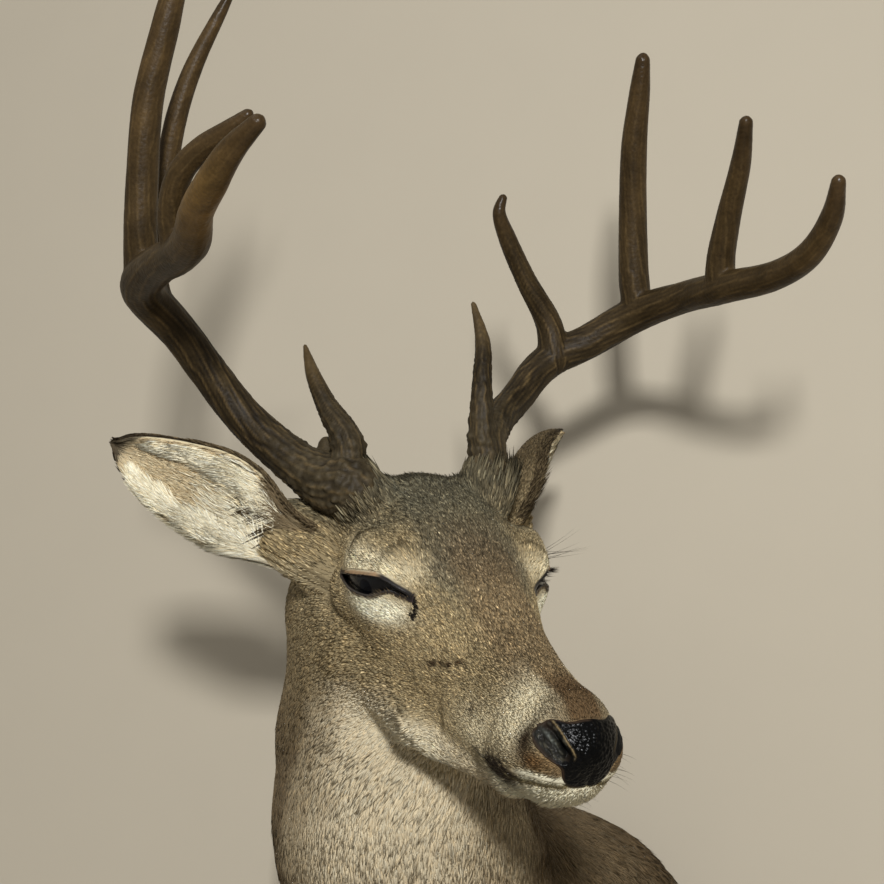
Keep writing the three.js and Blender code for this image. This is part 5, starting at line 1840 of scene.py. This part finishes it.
class StageSettings(bpy.types.PropertyGroup):
    """The wall, the floor and the lamps."""

    wall_colour: bpy.props.FloatVectorProperty(
        name="Wall", description="Colour of the wall behind the mount", size=3,
        default=tuple(colour(188, 179, 161)), min=0, max=1, subtype="COLOR")
    floor_level: bpy.props.FloatProperty(
        name="Floor level", description="Height of the floor under the mount",
        default=-1.4, unit="LENGTH")
    key_power: bpy.props.FloatProperty(
        name="Key lamp", description="Power of the main soft lamp", default=40.0, min=0,
        unit="POWER")
    sky_strength: bpy.props.FloatProperty(
        name="Sky", description="Strength of the light from all round", default=0.25, min=0)


# ======== operators ========
class BUCK_OT_skin(bpy.types.Operator):
    """Builds the one skin under the coat"""

    bl_idname = "buck.skin"
    bl_label = "Skin"

    def execute(self, context):
        build_skin()
        return {"FINISHED"}


class BUCK_OT_coat(bpy.types.Operator):
    """Builds the coat's locks in stretches, from the muzzle to the wall"""

    bl_idname = "buck.coat"
    bl_label = "Coat"

    def execute(self, context):
        settings = context.scene.buck
        for number, (name, low, high, side, count) in enumerate(COAT_ZONES):
            seed = settings.coat_seed + number
            build_coat(name, low, high, side, int(count * settings.coat_share), seed)
        return {"FINISHED"}


class BUCK_OT_eyes(bpy.types.Operator):
    """Builds the eyeballs and the lids round them"""

    bl_idname = "buck.eyes"
    bl_label = "Eyes and Lids"

    def execute(self, context):
        for name, side in (("left", 1), ("right", -1)):
            build_eye(f"eye_ball_{name}", side, f"eye_{name}")
            build_lids(f"lids_{name}", side)
        return {"FINISHED"}


class BUCK_OT_nose(bpy.types.Operator):
    """Builds the bare nose with its nostrils"""

    bl_idname = "buck.nose"
    bl_label = "Nose"

    def execute(self, context):
        build_nose()
        return {"FINISHED"}


class BUCK_OT_ears(bpy.types.Operator):
    """Builds the ears and their hair"""

    bl_idname = "buck.ears"
    bl_label = "Ears"

    def execute(self, context):
        for number, name in enumerate(EARS):
            build_ear(name)
            build_ear_coat(name, context.scene.buck.coat_seed + 40 + number)
        return {"FINISHED"}


class BUCK_OT_antlers(bpy.types.Operator):
    """Builds the two antlers"""

    bl_idname = "buck.antlers"
    bl_label = "Antlers"

    def execute(self, context):
        for number, name in enumerate(ANTLERS):
            build_antler(name, 5 + number)
        return {"FINISHED"}


class BUCK_OT_whiskers(bpy.types.Operator):
    """Builds the lashes, brow hairs and whiskers"""

    bl_idname = "buck.whiskers"
    bl_label = "Lashes and Whiskers"

    def execute(self, context):
        build_whiskers(context.scene.buck.coat_seed + 80)
        return {"FINISHED"}


class BUCK_OT_board(bpy.types.Operator):
    """Gives the backboard its wood"""

    bl_idname = "buck.board"
    bl_label = "Backboard"

    def execute(self, context):
        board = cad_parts["backboard"]
        board.data.materials.clear()
        board.data.materials.append(wood_material())
        return {"FINISHED"}


class BUCK_OT_stage(bpy.types.Operator):
    """Sets the wall, the floor, the lamps and the camera"""

    bl_idname = "buck.stage"
    bl_label = "Stage and Camera"

    def execute(self, context):
        scene, settings = context.scene, context.scene.buck_stage
        wall = stage_material("wall_paint", tuple(settings.wall_colour), True)
        floor = stage_material("floor_paint", tuple(colour(214, 208, 198)), False)
        low = settings.floor_level
        r, y, top = STAGE_REACH, WALL_PLANE, CEILING_LEVEL
        stage_plane("wall", [(-r, y, low), (r, y, low), (r, y, top), (-r, y, top)], wall)
        stage_plane("floor", [(-r, -r, low), (r, -r, low), (r, r, low), (-r, r, low)], floor)
        area_light("key", (0.66, -2.2, 0.72), (0.03, -0.2, 0.35), 0.2, settings.key_power)
        area_light("top", (-0.8, -1.6, 2.4), (0.0, -0.2, 0.2), 1.6, settings.key_power * 0.22)
        world = bpy.data.worlds.new("room")
        scene.world = world
        world.use_nodes = True
        back = world.node_tree.nodes["Background"]
        back.inputs["Color"].default_value = (1.0, 0.985, 0.96, 1.0)
        back.inputs["Strength"].default_value = settings.sky_strength
        scene.view_settings.view_transform = "Standard"
        camera = bpy.data.cameras.new("camera")
        camera.lens = CAMERA_LENS
        camera.sensor_width = 36.0
        camera.clip_start = 0.05
        camera.clip_end = 50.0
        holder = placed("camera", camera)
        right, up = Vector(CAMERA_RIGHT), -Vector(CAMERA_DOWN)
        back_way = right.cross(up)
        turn = Matrix((right, up, back_way)).transposed().to_4x4()
        holder.matrix_world = Matrix.Translation(CAMERA_PLACE) @ turn
        scene.camera = holder
        return {"FINISHED"}


class BUCK_PT_mount(bpy.types.Panel):
    """Lists the settings and the parts of the mount"""

    bl_idname = "BUCK_PT_mount"
    bl_label = "Buck Mount"
    bl_space_type = "VIEW_3D"
    bl_region_type = "UI"
    bl_category = "Buck Mount"

    def draw(self, context):
        for group in (context.scene.buck, context.scene.buck_stage):
            for key in group.__annotations__:
                self.layout.prop(group, key)
        for operator in OPERATORS:
            self.layout.operator(operator.bl_idname)


OPERATORS = (BUCK_OT_skin, BUCK_OT_eyes, BUCK_OT_nose, BUCK_OT_ears, BUCK_OT_antlers,
             BUCK_OT_coat, BUCK_OT_whiskers, BUCK_OT_board, BUCK_OT_stage)
CLASSES = (BuckSettings, StageSettings, *OPERATORS, BUCK_PT_mount)


def register():
    """Adds the classes and their settings to Blender."""
    for item in CLASSES:
        bpy.utils.register_class(item)
    bpy.types.Scene.buck = bpy.props.PointerProperty(type=BuckSettings)
    bpy.types.Scene.buck_stage = bpy.props.PointerProperty(type=StageSettings)


def unregister():
    """Takes them out again."""
    del bpy.types.Scene.buck_stage
    del bpy.types.Scene.buck
    for item in reversed(CLASSES):
        bpy.utils.unregister_class(item)


def main():
    """Builds everything."""
    register()
    bpy.ops.buck.skin()
    bpy.ops.buck.eyes()
    bpy.ops.buck.nose()
    bpy.ops.buck.ears()
    bpy.ops.buck.antlers()
    bpy.ops.buck.coat()
    bpy.ops.buck.whiskers()
    bpy.ops.buck.board()
    bpy.ops.buck.stage()


if __name__ == "__main__":
    main()
